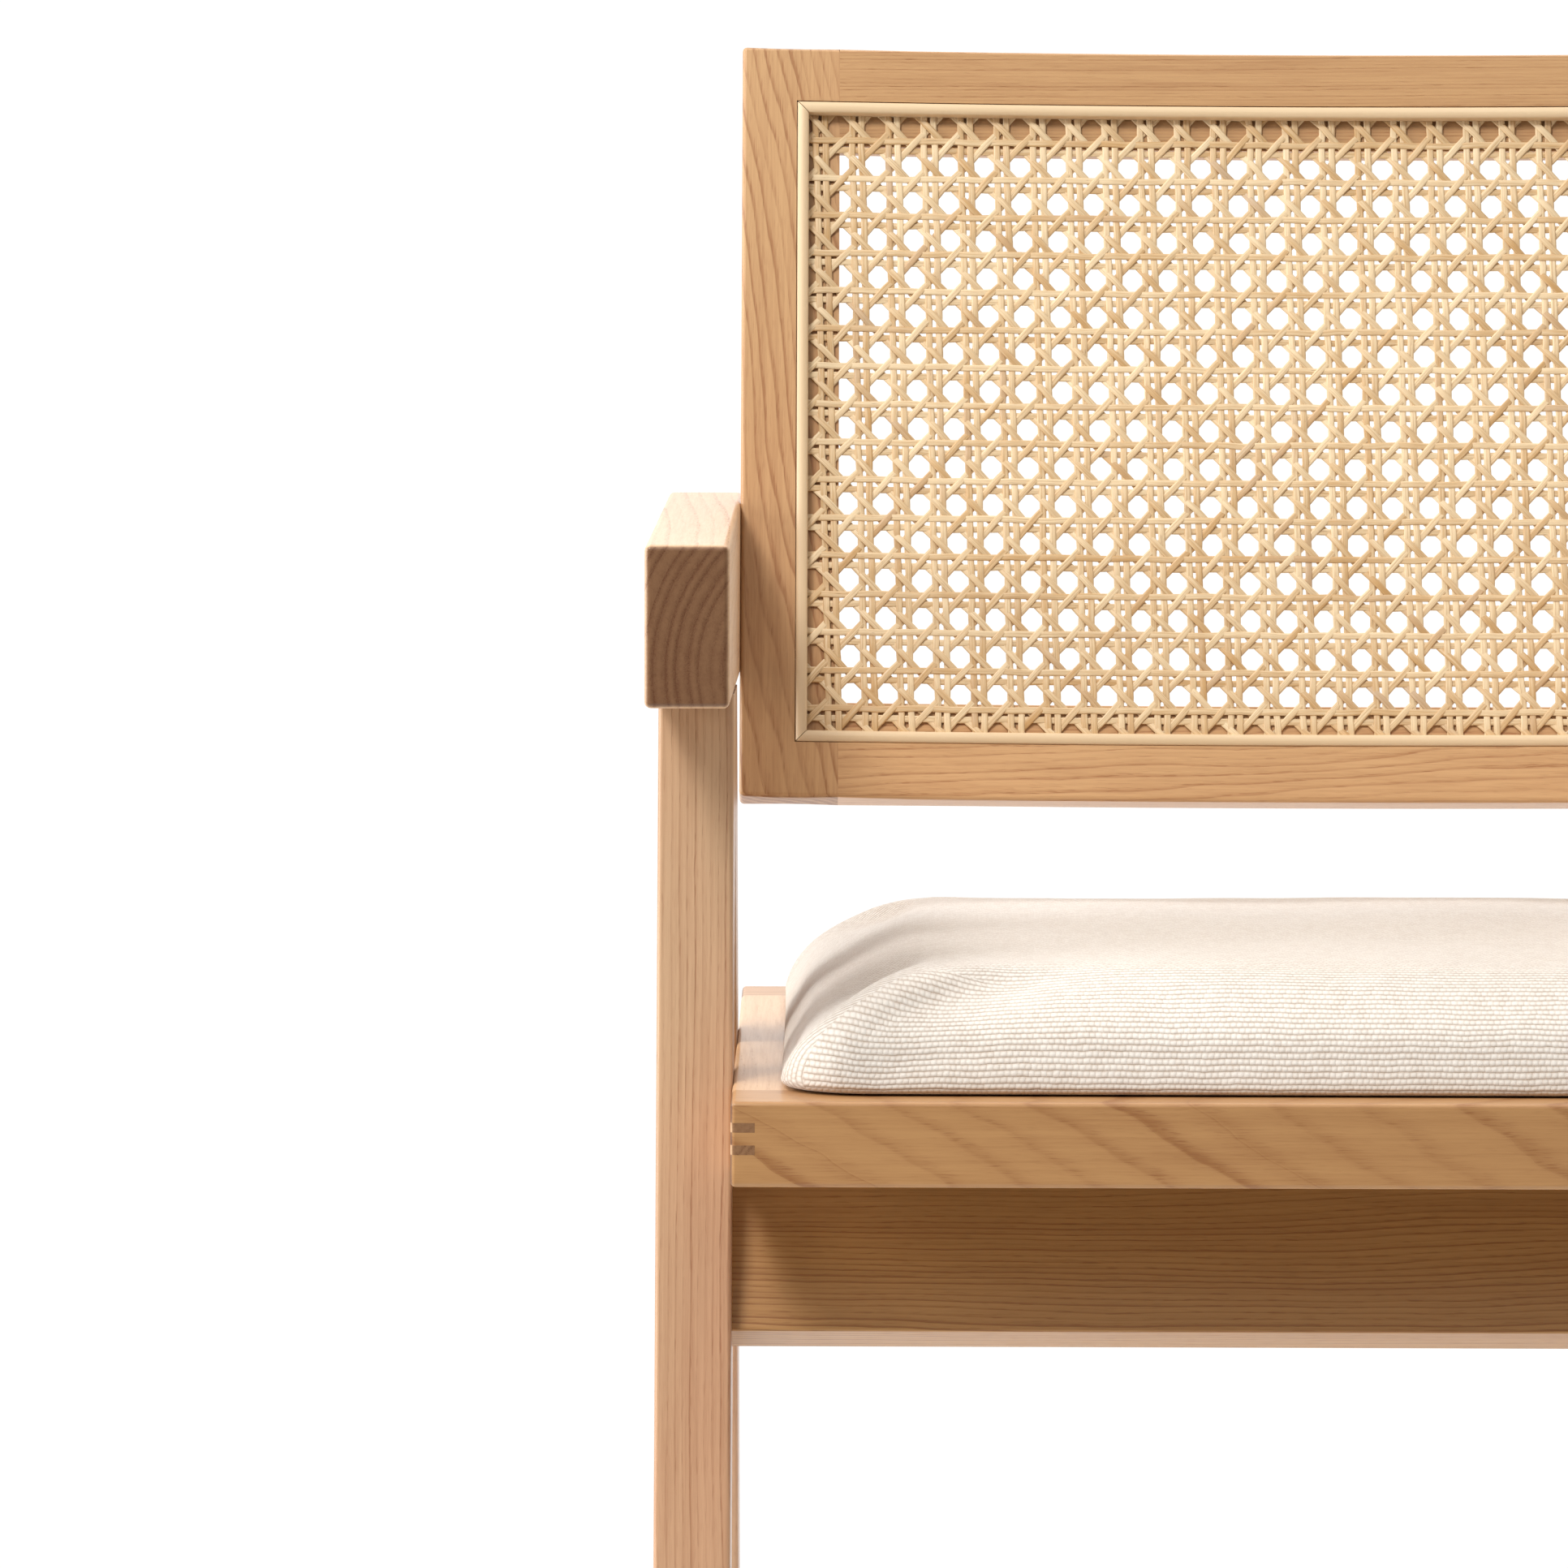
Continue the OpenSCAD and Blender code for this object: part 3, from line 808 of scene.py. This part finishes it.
class ARMCHAIR_OT_beads(bpy.types.Operator):
    """Rounded beads over the edges of the cane, mitred at the corners"""

    bl_idname = "armchair.beads"
    bl_label = "Beads"

    # The gap between a bead and the wood, and how near each bead comes to a full mitre
    gap = 0.22 * MM
    mitre = 0.9990
    shoulder_drop = 1.5 * MM

    def execute(self, context):
        material = bead_finish()
        half = BACK_HALF - FACE
        low, high = FACE, BACK_LEN - FACE
        for name, count, place in (
            ("bead_top", 40, lambda t, s: (t * (half - s), high - s)),
            ("bead_bottom", 40, lambda t, s: (t * (half - s), low + s)),
            ("bead_left", 16, lambda t, s: (-half + s, (low + high) / 2 + t * ((high - low) / 2 - s))),
            ("bead_right", 16, lambda t, s: (half - s, (low + high) / 2 + t * ((high - low) / 2 - s))),
        ):
            self.bead(name, count, place, material)
        return {"FINISHED"}

    def section(self):
        """The bead's section: distance in from its outer edge, and height towards the sitter"""
        width = BEAD_WIDTH - self.gap
        shoulder = BEAD_PROUD - self.shoulder_drop
        arc = [(self.gap + width * (1 - math.cos(a)) / 2, shoulder + self.shoulder_drop * math.sin(a))
               for a in [math.pi * i / 10 for i in range(11)]]
        return [(self.gap, -BEAD_FLOOR)] + arc + [(self.gap + width, -BEAD_FLOOR)]

    def bead(self, name, count, place, material):
        bm = bmesh.new()
        uv = bm.loops.layers.uv.new("UVMap")
        section = self.section()
        rows = []
        for i in range(count + 1):
            t = (-1 + 2 * i / count) * self.mitre
            rows.append([bm.verts.new((*place(t, s), h)) for s, h in section])
        around = {v: s + h for row in rows for (s, h), v in zip(section, row)}
        n = len(section)
        for a, b in zip(rows, rows[1:]):
            for j in range(n):
                k = (j + 1) % n
                bm.faces.new((a[j], a[k], b[k], b[j]))
        bm.faces.new(rows[0])
        bm.faces.new(rows[-1])
        for face in bm.faces:
            for loop in face.loops:
                run = loop.vert.co.x if name in ("bead_top", "bead_bottom") else loop.vert.co.y
                loop[uv].uv = (run, around[loop.vert])
        mesh = to_mesh(bm, name, 50)
        lay_on_back(mesh)
        add_piece(name + "_reed", mesh, material, "reed", name)


class ARMCHAIR_OT_cane(bpy.types.Operator):
    """Woven cane: pairs across, pairs upright and two families of diagonals"""

    bl_idname = "armchair.cane"
    bl_label = "Woven cane"

    # From a pair's middle to each of its strands, how far strands rise and stray from their lines,
    # and how much the whole weave leans
    habits = {"Pair gap": 2.0 * MM, "Lift": 0.62 * MM, "Wander": 1.1 * MM, "Skew": 0.024}
    # The cane stops this far inside the beads' outer edges, and lies this far behind the back's face
    margin = 0.6 * MM
    sunk = 5.0 * MM
    # How far the strands across and upright run on before the weave is trimmed
    overrun = 10 * MM
    samples_per_pitch = 6

    def execute(self, context):
        material = cane_finish()
        for seed, family in enumerate(("across", "upright", "rising", "falling")):
            tree = self.strand_tree(family, context.scene.armchair_cane, material, seed)
            mesh = self.grow(tree)
            lay_on_back(mesh)
            mesh.shade_smooth()
            replaced = ("cane_panel",) if family == "across" else ()
            add_piece("cane_" + family, mesh, material, "cane", *replaced)
        return {"FINISHED"}

    @staticmethod
    def grow(tree):
        """Runs a geometry tree on an empty mesh and returns the plain mesh that it makes"""
        seedling = bpy.data.objects.new("seedling", bpy.data.meshes.new("seedling"))
        bpy.context.scene.collection.objects.link(seedling)
        modifier = seedling.modifiers.new("Weave", "NODES")
        modifier.node_group = tree
        bpy.context.view_layer.update()
        graph = bpy.context.evaluated_depsgraph_get()
        mesh = bpy.data.meshes.new_from_object(seedling.evaluated_get(graph))
        seedling.modifiers.remove(modifier)
        bpy.data.objects.remove(seedling)
        if not len(mesh.polygons):
            raise RuntimeError("the weave came out empty: " + tree.name)
        return mesh

    def strand_tree(self, family, cane, material, seed):
        """A tree that lays one family of strands on a flat panel, bent over and under the others"""
        half = (BACK_HALF - FACE - self.margin, BACK_LEN / 2 - FACE - self.margin)
        tree = bpy.data.node_groups.new("cane_" + family, "GeometryNodeTree")
        sizes = {
            "Pitch across": cane.pitch_across, "Pitch up": cane.pitch_up,
            "Strand width": cane.strand_width, "Strand thickness": cane.strand_thickness,
            "Phase across": cane.phase_across, "Phase up": cane.phase_up, **self.habits,
        }
        for name, value in sizes.items():
            made = tree.interface.new_socket(name, in_out="INPUT", socket_type="NodeSocketFloat")
            made.default_value = value
        tree.interface.new_socket("Geometry", in_out="OUTPUT", socket_type="NodeSocketGeometry")
        g = Graph(tree)
        group = tree.nodes.new("NodeGroupInput")
        size = {name: Socket(tree, group.outputs[name]) for name in sizes}
        strands = self.straight_strands(g, family, size, cane, half, seed)
        tone = g.add("GeometryNodeInputNamedAttribute", {"data_type": "FLOAT"}, {"Name": "tone"})
        offset = self.over_and_under(g, family, size, tone)
        strands = g.add("GeometryNodeSetPosition", None, {"Geometry": strands, "Offset": offset})
        x, y, _ = g.split(g.add("GeometryNodeInputPosition"))
        outside = g.add("FunctionNodeBooleanMath", {"operation": "OR"},
                        {0: abs(x).above(half[0]), 1: abs(y).above(half[1])})
        strands = g.add("GeometryNodeDeleteGeometry", {"domain": "POINT"},
                        {"Geometry": strands, "Selection": outside})
        run = g.add("GeometryNodeSplineParameter", None, None, "Length")
        strands = self.store(g, strands, "POINT", "run", run)
        strands = g.add("GeometryNodeSetCurveRadius", None,
                        {"Curve": strands, "Radius": tone * 0.3 + 0.87})
        woven = g.add("GeometryNodeCurveToMesh", None, {
            "Curve": strands, "Profile Curve": self.profile(g, size), "Fill Caps": True})
        centre = g.join(0.0, BACK_LEN / 2, -self.sunk)
        woven = g.add("GeometryNodeSetPosition", None, {"Geometry": woven, "Offset": centre})
        woven = g.add("GeometryNodeRealizeInstances", None, {"Geometry": woven})
        woven = g.add("GeometryNodeSetMaterial", None, {"Geometry": woven, "Material": material})
        output = tree.nodes.new("NodeGroupOutput")
        tree.links.new(woven.output, output.inputs["Geometry"])
        return tree

    @staticmethod
    def store(g, geometry, domain, name, value):
        return g.add("GeometryNodeStoreNamedAttribute", {"data_type": "FLOAT", "domain": domain},
                     {"Geometry": geometry, "Name": name, "Value": value})

    def straight_strands(self, g, family, size, cane, half, seed):
        """The family's lines, straight and flat, and each with a tone of its own"""
        half_x, half_y = half
        phase_x, phase_y = size["Phase across"], size["Phase up"]
        columns = math.ceil(half_x / cane.pitch_across) + 2
        rows = math.ceil(half_y / cane.pitch_up) + 2
        slope = cane.pitch_up / cane.pitch_across
        index = g.add("GeometryNodeInputIndex")

        def to_strand():
            """From the middle of a pair to one strand or the other"""
            return ((index % 2.0) * 2.0 - 1.0) * size["Pair gap"]

        if family == "across":
            count, reach, direction = 4 * rows, half_x + self.overrun, Vector((1, 0, 0))
            line = (index / 2.0).floor() - rows
            place = g.join(0.0, (line - phase_y) * size["Pitch up"] + to_strand(), 0.0)
        elif family == "upright":
            count, reach, direction = 4 * columns, half_y + self.overrun, Vector((0, 1, 0))
            line = (index / 2.0).floor() - columns
            place = g.join((line - phase_x) * size["Pitch across"] + to_strand(), 0.0, 0.0)
        else:
            sign = 1 if family == "rising" else -1
            count = 2 * (columns + rows)
            reach = 1.6 * (half_x + half_y)
            direction = Vector((1, sign * slope, 0)).normalized()
            line = index - (columns + rows) + 0.5 - phase_x + phase_y * sign
            place = g.join(line * size["Pitch across"], 0.0, 0.0)
        points = g.add("GeometryNodeMeshLine", {"mode": "OFFSET"}, {"Count": count, "Offset": (0, 0, 0)})
        points = g.add("GeometryNodeSetPosition", None, {"Geometry": points, "Position": place})
        strand = g.add("GeometryNodeCurvePrimitiveLine", None,
                       {"Start": direction * -reach, "End": direction * reach})
        samples = int(2 * reach / (cane.pitch_across / self.samples_per_pitch))
        strand = g.add("GeometryNodeResampleCurve", None, {"Curve": strand, "Count": samples})
        strands = g.add("GeometryNodeInstanceOnPoints", None, {"Points": points, "Instance": strand})
        tone = g.add("FunctionNodeRandomValue", {"data_type": "FLOAT"}, {"Seed": seed}, 1)
        strands = self.store(g, strands, "INSTANCE", "tone", tone)
        return g.add("GeometryNodeRealizeInstances", None, {"Geometry": strands})

    @staticmethod
    def over_and_under(g, family, size, tone):
        """How far each place on a strand moves: up or down with the weave, and a little astray"""
        position = g.add("GeometryNodeInputPosition")
        x, y, _ = g.split(position)
        turn_u = (x / size["Pitch across"] + size["Phase across"]) * (2 * math.pi)
        v = y / size["Pitch up"] + size["Phase up"]
        turn_v = v * (2 * math.pi)
        if family == "across":
            side = ((v - (v + 0.5).floor()).above(0.0)) * 2.0 - 1.0
            height = side * size["Lift"] * 0.5 * (turn_u.cos() * 0.5 + 0.5)
        elif family == "upright":
            height = turn_v.sin() * size["Lift"] * -0.6
        else:
            height = turn_v.cos() * size["Lift"] * (1.0 if family == "rising" else -1.0)
        astray = g.add("ShaderNodeTexNoise", {"noise_dimensions": "4D"},
                       {"Vector": position, "W": tone * 37.0, "Scale": 60.0, "Detail": 1.0}, "Color")
        jx, jy, jz = g.split(astray)
        wander = size["Wander"]
        return g.join((jx - 0.5) * wander * 1.6 - y * size["Skew"], (jy - 0.5) * wander * 1.6,
                      height + (jz - 0.5) * wander * 0.35)

    def profile(self, g, size):
        """A strand's flat-faced section, fuller than an ellipse towards its edges"""
        circle = g.add("GeometryNodeCurvePrimitiveCircle", None, {"Resolution": 10, "Radius": 0.5})
        x, y, _ = g.split(g.add("GeometryNodeInputPosition"))
        circle = self.store(g, circle, "POINT", "edge", x * 2.0)
        wide = x.sign() * abs(x * 2.0) ** 0.6 * 0.5
        deep = y.sign() * abs(y * 2.0) ** 0.5 * 0.5
        place = g.join(wide * size["Strand width"], deep * size["Strand thickness"], 0.0)
        return g.add("GeometryNodeSetPosition", None, {"Geometry": circle, "Position": place})


class ARMCHAIR_OT_seat_pad(bpy.types.Operator):
    """Crowned seat pad in a chunky ribbed cover, puffed out by cloth simulation"""

    bl_idname = "armchair.seat_pad"
    bl_label = "Seat pad"

    # The width of the form's faces, and how many rings of them go up its sides
    step = 6.5 * MM
    rings = 13
    # How far the rounding of the sides and of the foot reaches inwards, and the foot's upwards
    side_round = 40 * MM
    foot_round = 6 * MM
    foot_tall = 6 * MM
    corner_round = 28 * MM
    # Room left for the filling to push the cover out and up
    slack = -1.5 * MM
    headroom = 8 * MM
    most_puff = 7 * MM
    # The cloth is held below this height
    held = 5 * MM
    # The share of the steps up a side that go to the foot's rounding
    foot_steps = 0.25
    # How many frames the filling takes, and how often each shift is shared with its neighbours
    frames = 20
    easings = 8
    # The unevenness starts this far up the side, and comes in over this height
    even_foot = 6 * MM
    uneven_over = 20 * MM

    def execute(self, context):
        lo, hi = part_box("seat_pad")
        pad = context.scene.armchair_pad
        mesh = self.form(lo, hi, pad.crown)
        piece = bpy.data.objects.new("seat_cushion", mesh)
        context.scene.collection.objects.link(piece)
        self.puff(context, piece, lo)
        self.settle(piece.data, lo)
        smooth = piece.modifiers.new("Smooth", "SUBSURF")
        smooth.levels = smooth.render_levels = 1
        graph = context.evaluated_depsgraph_get()
        done = bpy.data.meshes.new_from_object(piece.evaluated_get(graph))
        bpy.data.objects.remove(piece)
        done.shade_smooth()
        piece = add_piece("seat_cushion", done, cover_finish(), "cream_cloth", "seat_pad")
        return {"FINISHED"}

    def form(self, lo, hi, crown):
        """A closed pad: rings of rounded rectangles from the middle of the crown to the foot"""
        across = round((hi.x - lo.x) / self.step)
        deep = round((hi.y - lo.y) / self.step)
        tall = self.rings
        middle = (lo + hi) / 2
        bm = bmesh.new()
        places = {}

        def vert(i, j, k):
            key = (i, j, k)
            if key not in places:
                square = Vector((2 * i / across - 1, 2 * j / deep - 1))
                places[key] = bm.verts.new(self.shaped(square, k / tall, lo, hi, crown) + middle)
            return places[key]

        # Each face keeps its own place on the cloth: flat on top, then as far down each side
        # as the cloth has to go
        cover = bm.loops.layers.uv.new("Cover")
        profile = [self.shaped(Vector((1, 0)), k / tall, lo, hi, crown) for k in range(tall + 1)]
        front = self.shaped(Vector((0, 1)), 1, lo, hi, crown)
        brim = (profile[-1].x, front.y)
        drops = [sum((b - a).length for a, b in zip(profile[k:], profile[k + 1:]))
                 for k in range(tall + 1)]

        def face(keys, spread):
            made = bm.faces.new([vert(*key) for key in keys])
            for loop, (_, _, k) in zip(made.loops, keys):
                place = loop.vert.co - middle
                loop[cover].uv = [
                    way * (brim[axis] + drops[k]) if way else place[axis]
                    for axis, way in enumerate(spread)]

        for i in range(across):
            for j in range(deep):
                for k in (0, tall):
                    face([(i, j, k), (i + 1, j, k), (i + 1, j + 1, k), (i, j + 1, k)], (0, 0))
        for k in range(tall):
            for i in range(across):
                for j, way in ((0, -1), (deep, 1)):
                    face([(i, j, k), (i + 1, j, k), (i + 1, j, k + 1), (i, j, k + 1)], (0, way))
            for j in range(deep):
                for i, way in ((0, -1), (across, 1)):
                    face([(i, j, k), (i, j + 1, k), (i, j + 1, k + 1), (i, j, k + 1)], (way, 0))
        return to_mesh(bm, "seat_cushion", 180)

    def shaped(self, square, up, lo, hi, crown):
        """A place on the pad, from its place on a unit square and how far up the side it is"""
        ring = max(abs(square.x), abs(square.y))
        half = Vector(((hi.x - lo.x) / 2 - self.slack, (hi.y - lo.y) / 2 - self.slack))
        tall = hi.z - lo.z - crown - self.headroom
        share = self.foot_tall / tall
        if up <= self.foot_steps:
            angle = up / self.foot_steps * math.pi / 2
            inset = self.foot_round * (1 - math.sin(angle))
            height = tall * share * (1 - math.cos(angle))
        else:
            angle = (up - self.foot_steps) / (1 - self.foot_steps) * math.pi / 2
            inset = self.side_round * (1 - max(0, math.cos(angle)) ** 0.8)
            height = tall * (share + (1 - share) * math.sin(angle) ** 0.8)
        reach = half - Vector((inset, inset))
        corner = (self.corner_round + inset * 0.5) * ring
        flat = Vector((square.x * reach.x, square.y * reach.y))
        bound = reach * ring - Vector((corner, corner))
        core = Vector((min(max(flat.x, -bound.x), bound.x), min(max(flat.y, -bound.y), bound.y)))
        away = flat - core
        if away.x and away.y:
            away *= max(abs(away.x), abs(away.y)) / away.length
        flat = core + away
        if up > self.foot_steps:
            height += crown * (1 - (flat.x / half.x) ** 6) * (1 - (flat.y / half.y) ** 6)
        return Vector((flat.x, flat.y, height - (hi.z - lo.z) / 2))

    def puff(self, context, piece, lo):
        """Fills the cover with a little air pressure, and applies the result"""
        start = [v.co.copy() for v in piece.data.vertices]
        pinned = piece.vertex_groups.new(name="held")
        pinned.add([i for i, co in enumerate(start) if co.z < lo.z + self.held], 1.0, "REPLACE")
        cloth = piece.modifiers.new("Cloth", "CLOTH")
        settings = cloth.settings
        settings.quality = 5
        settings.mass = 0.4
        settings.tension_stiffness = 12
        settings.compression_stiffness = 12
        settings.shear_stiffness = 6
        settings.bending_stiffness = 0.8
        settings.vertex_group_mass = "held"
        settings.use_pressure = True
        settings.uniform_pressure_force = 4.0
        settings.effector_weights.gravity = 0.0
        cloth.point_cache.frame_start = 1
        cloth.point_cache.frame_end = self.frames
        for step in range(1, self.frames + 1):
            context.scene.frame_set(step)
        graph = context.evaluated_depsgraph_get()
        moved = bpy.data.meshes.new_from_object(piece.evaluated_get(graph))
        shifts = self.eased([v.co - was for v, was in zip(moved.vertices, start)], moved.edges)
        for v, was, shift in zip(moved.vertices, start, shifts):
            if shift.length > self.most_puff:
                shift *= self.most_puff / shift.length
            v.co = was + shift
        piece.modifiers.clear()
        piece.data = moved
        context.scene.frame_set(1)

    def eased(self, shifts, edges):
        """Shares each shift with its neighbours, so that the stuffing leaves no hard folds"""
        pairs = np.array([tuple(e.vertices) for e in edges])
        count = np.zeros(len(shifts))
        np.add.at(count, pairs.ravel(), 1)
        shifts = np.array(shifts)
        for _ in range(self.easings):
            total = np.zeros_like(shifts)
            np.add.at(total, pairs[:, 0], shifts[pairs[:, 1]])
            np.add.at(total, pairs[:, 1], shifts[pairs[:, 0]])
            shifts = (shifts + total / count[:, None]) / 2
        return [Vector(shift) for shift in shifts]

    def settle(self, mesh, lo):
        """Gentle hollows and a hand-made unevenness, with the foot kept flat on the frame"""
        for v in mesh.vertices:
            share = max(0.0, min(1.0, (v.co.z - lo.z - self.even_foot) / self.uneven_over))
            soft = noise.noise(v.co * 9.0) * 1.3 * MM + noise.noise(v.co * 27.0) * 0.5 * MM
            v.co.z += soft * share
            v.co.z = max(lo.z + 0.2 * MM, v.co.z)


class ARMCHAIR_OT_fixings(bpy.types.Operator):
    """Dowels, bolts, screws, blocks, seat board and glides"""

    bl_idname = "armchair.fixings"
    bl_label = "Fixings"

    def execute(self, context):
        beech = ((0.58, 0.38, 0.21), (0.46, 0.27, 0.14))
        ply = ((0.60, 0.43, 0.26), (0.48, 0.32, 0.18))
        finishes = {
            "arm_dowels": plain_wood_finish("beech_upright", (0, 0, 0), *beech),
            "leg_dowels": plain_wood_finish("beech_along_depth", ALONG_DEPTH, *beech),
            "back_dowels": plain_wood_finish("beech_across", ACROSS, *beech),
            "corner_blocks": plain_wood_finish("beech_blocks", ACROSS, *beech),
            "seat_board": plain_wood_finish("plywood", ACROSS, *ply),
            "bolt_plugs": ash_finish("ash_plugs", ACROSS, middle_of("bolt_plugs"), (0.03, 0.04),
                                     gap=2.4, end_shade=0.5),
            "seat_bolts": steel_finish(),
            "foot_glides": glide_finish(),
        }
        finishes["stretcher_dowels"] = finishes["back_dowels"]
        finishes["back_bolts"] = finishes["seat_bolts"]
        finishes["board_screws"] = finishes["seat_bolts"]
        for node, material in finishes.items():
            data = NODES[node].data
            data.materials.clear()
            data.materials.append(material)
        return {"FINISHED"}


# ---------------------------------------------------------------- stage


class ARMCHAIR_OT_stage(bpy.types.Operator):
    """Pale floor, soft lights and the camera"""

    bl_idname = "armchair.stage"
    bl_label = "Stage"

    # How bright the studio is all round, behind the chair, over it, and as the camera sees it
    all_round = 0.09
    behind = 1.2
    overhead = 1.05
    backdrop = 1.06

    def execute(self, context):
        stage = context.scene.armchair_stage
        self.floor(context, stage)
        self.sky(context)
        self.lights(context)
        self.camera(context, stage)
        context.scene.view_settings.view_transform = "Standard"
        context.scene.view_settings.look = "None"
        return {"FINISHED"}

    @staticmethod
    def floor(context, stage):
        """A round platform, a little wider than the chair needs"""
        bm = bmesh.new()
        bmesh.ops.create_circle(bm, cap_ends=True, segments=128, radius=stage.floor_radius)
        mesh = bpy.data.meshes.new("floor")
        bm.to_mesh(mesh)
        bm.free()
        f = Finish("pale_floor", Roughness=0.8)
        cloud = f.noise(f.stretch(f.place(), (2.0, 2.0, 2.0)), 2.0)
        f.set("Base Color", f.mix(cloud * 0.3, tuple(stage.floor), (0.84, 0.84, 0.83)))
        mesh.materials.append(f.material)
        floor = bpy.data.objects.new("floor", mesh)
        context.scene.collection.objects.link(floor)

    def sky(self, context):
        """A white studio: its light comes mostly from behind the chair and above it"""
        world = bpy.data.worlds.new("studio")
        world.use_nodes = True
        context.scene.world = world
        tree = world.node_tree
        tree.nodes.clear()
        g = Graph(tree)
        _, y, z = g.split(g.add("ShaderNodeTexCoord", None, None, "Generated"))
        light = self.all_round + y.ramp(-0.15, 0.45) * self.behind + z.ramp(0.25, 0.9) * self.overhead
        seen = g.add("ShaderNodeLightPath", None, None, "Is Camera Ray")
        strength = light + seen * (self.backdrop - light)
        back = tree.nodes.new("ShaderNodeBackground")
        back.inputs["Color"].default_value = (1.0, 0.995, 0.985, 1)
        tree.links.new(strength.output, back.inputs["Strength"])
        output = tree.nodes.new("ShaderNodeOutputWorld")
        tree.links.new(back.outputs[0], output.inputs["Surface"])

    @staticmethod
    def lights(context):
        aim = Vector((0, 0, 0.45))
        for name, place, size, power in (
            ("key", (-1.07, -1.5, 2.4), 0.7, 45.5),
            ("side", (-2.2, -0.4, 1.0), 1.2, 34),
        ):
            light = bpy.data.lights.new(name, "AREA")
            light.shape = "SQUARE"
            light.size = size
            light.energy = power
            lamp = bpy.data.objects.new(name, light)
            lamp.location = place
            lamp.rotation_euler = (aim - Vector(place)).to_track_quat("-Z", "Y").to_euler()
            context.scene.collection.objects.link(lamp)

    @staticmethod
    def camera(context, stage):
        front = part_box("arm_left")[0].y
        data = bpy.data.cameras.new("camera")
        data.lens = stage.lens
        data.sensor_width = 36
        data.clip_start = 0.05
        data.clip_end = 200
        camera = bpy.data.objects.new("camera", data)
        turn = Matrix.Rotation(stage.camera_turn, 4, "Z")
        pitch = Matrix.Rotation(math.radians(90) - stage.camera_pitch, 4, "X")
        roll = Matrix.Rotation(stage.camera_roll, 4, "Z")
        place = Vector((stage.camera_side, front - stage.camera_distance, stage.camera_height))
        camera.matrix_world = Matrix.Translation(place) @ turn @ pitch @ roll
        context.scene.collection.objects.link(camera)
        context.scene.camera = camera


# ---------------------------------------------------------------- add-on


OPERATORS = (
    ARMCHAIR_OT_stage,
    ARMCHAIR_OT_side_frames,
    ARMCHAIR_OT_stretcher,
    ARMCHAIR_OT_seat_frame,
    ARMCHAIR_OT_back_frame,
    ARMCHAIR_OT_beads,
    ARMCHAIR_OT_cane,
    ARMCHAIR_OT_seat_pad,
    ARMCHAIR_OT_fixings,
)
SETTINGS = {
    "armchair_wood": WoodSettings,
    "armchair_cane": CaneSettings,
    "armchair_pad": PadSettings,
    "armchair_stage": StageSettings,
}


class ARMCHAIR_PT_panel(bpy.types.Panel):
    """Settings and one button for each group of pieces"""

    bl_idname = "ARMCHAIR_PT_panel"
    bl_label = "Armchair"
    bl_space_type = "VIEW_3D"
    bl_region_type = "UI"
    bl_category = "Armchair"

    def draw(self, context):
        for name, group in SETTINGS.items():
            box = self.layout.box()
            for setting in group.__annotations__:
                box.prop(getattr(context.scene, name), setting)
        for operator in OPERATORS:
            self.layout.operator(operator.bl_idname)


def register():
    for cls in (*SETTINGS.values(), *OPERATORS, ARMCHAIR_PT_panel):
        bpy.utils.register_class(cls)
    for name, group in SETTINGS.items():
        setattr(bpy.types.Scene, name, PointerProperty(type=group))


def unregister():
    for name in SETTINGS:
        delattr(bpy.types.Scene, name)
    for cls in (ARMCHAIR_PT_panel, *reversed(OPERATORS), *SETTINGS.values()):
        bpy.utils.unregister_class(cls)


def main():
    register()
    for operator in OPERATORS:
        group, name = operator.bl_idname.split(".")
        getattr(getattr(bpy.ops, group), name)()


if __name__ == "__main__":
    main()
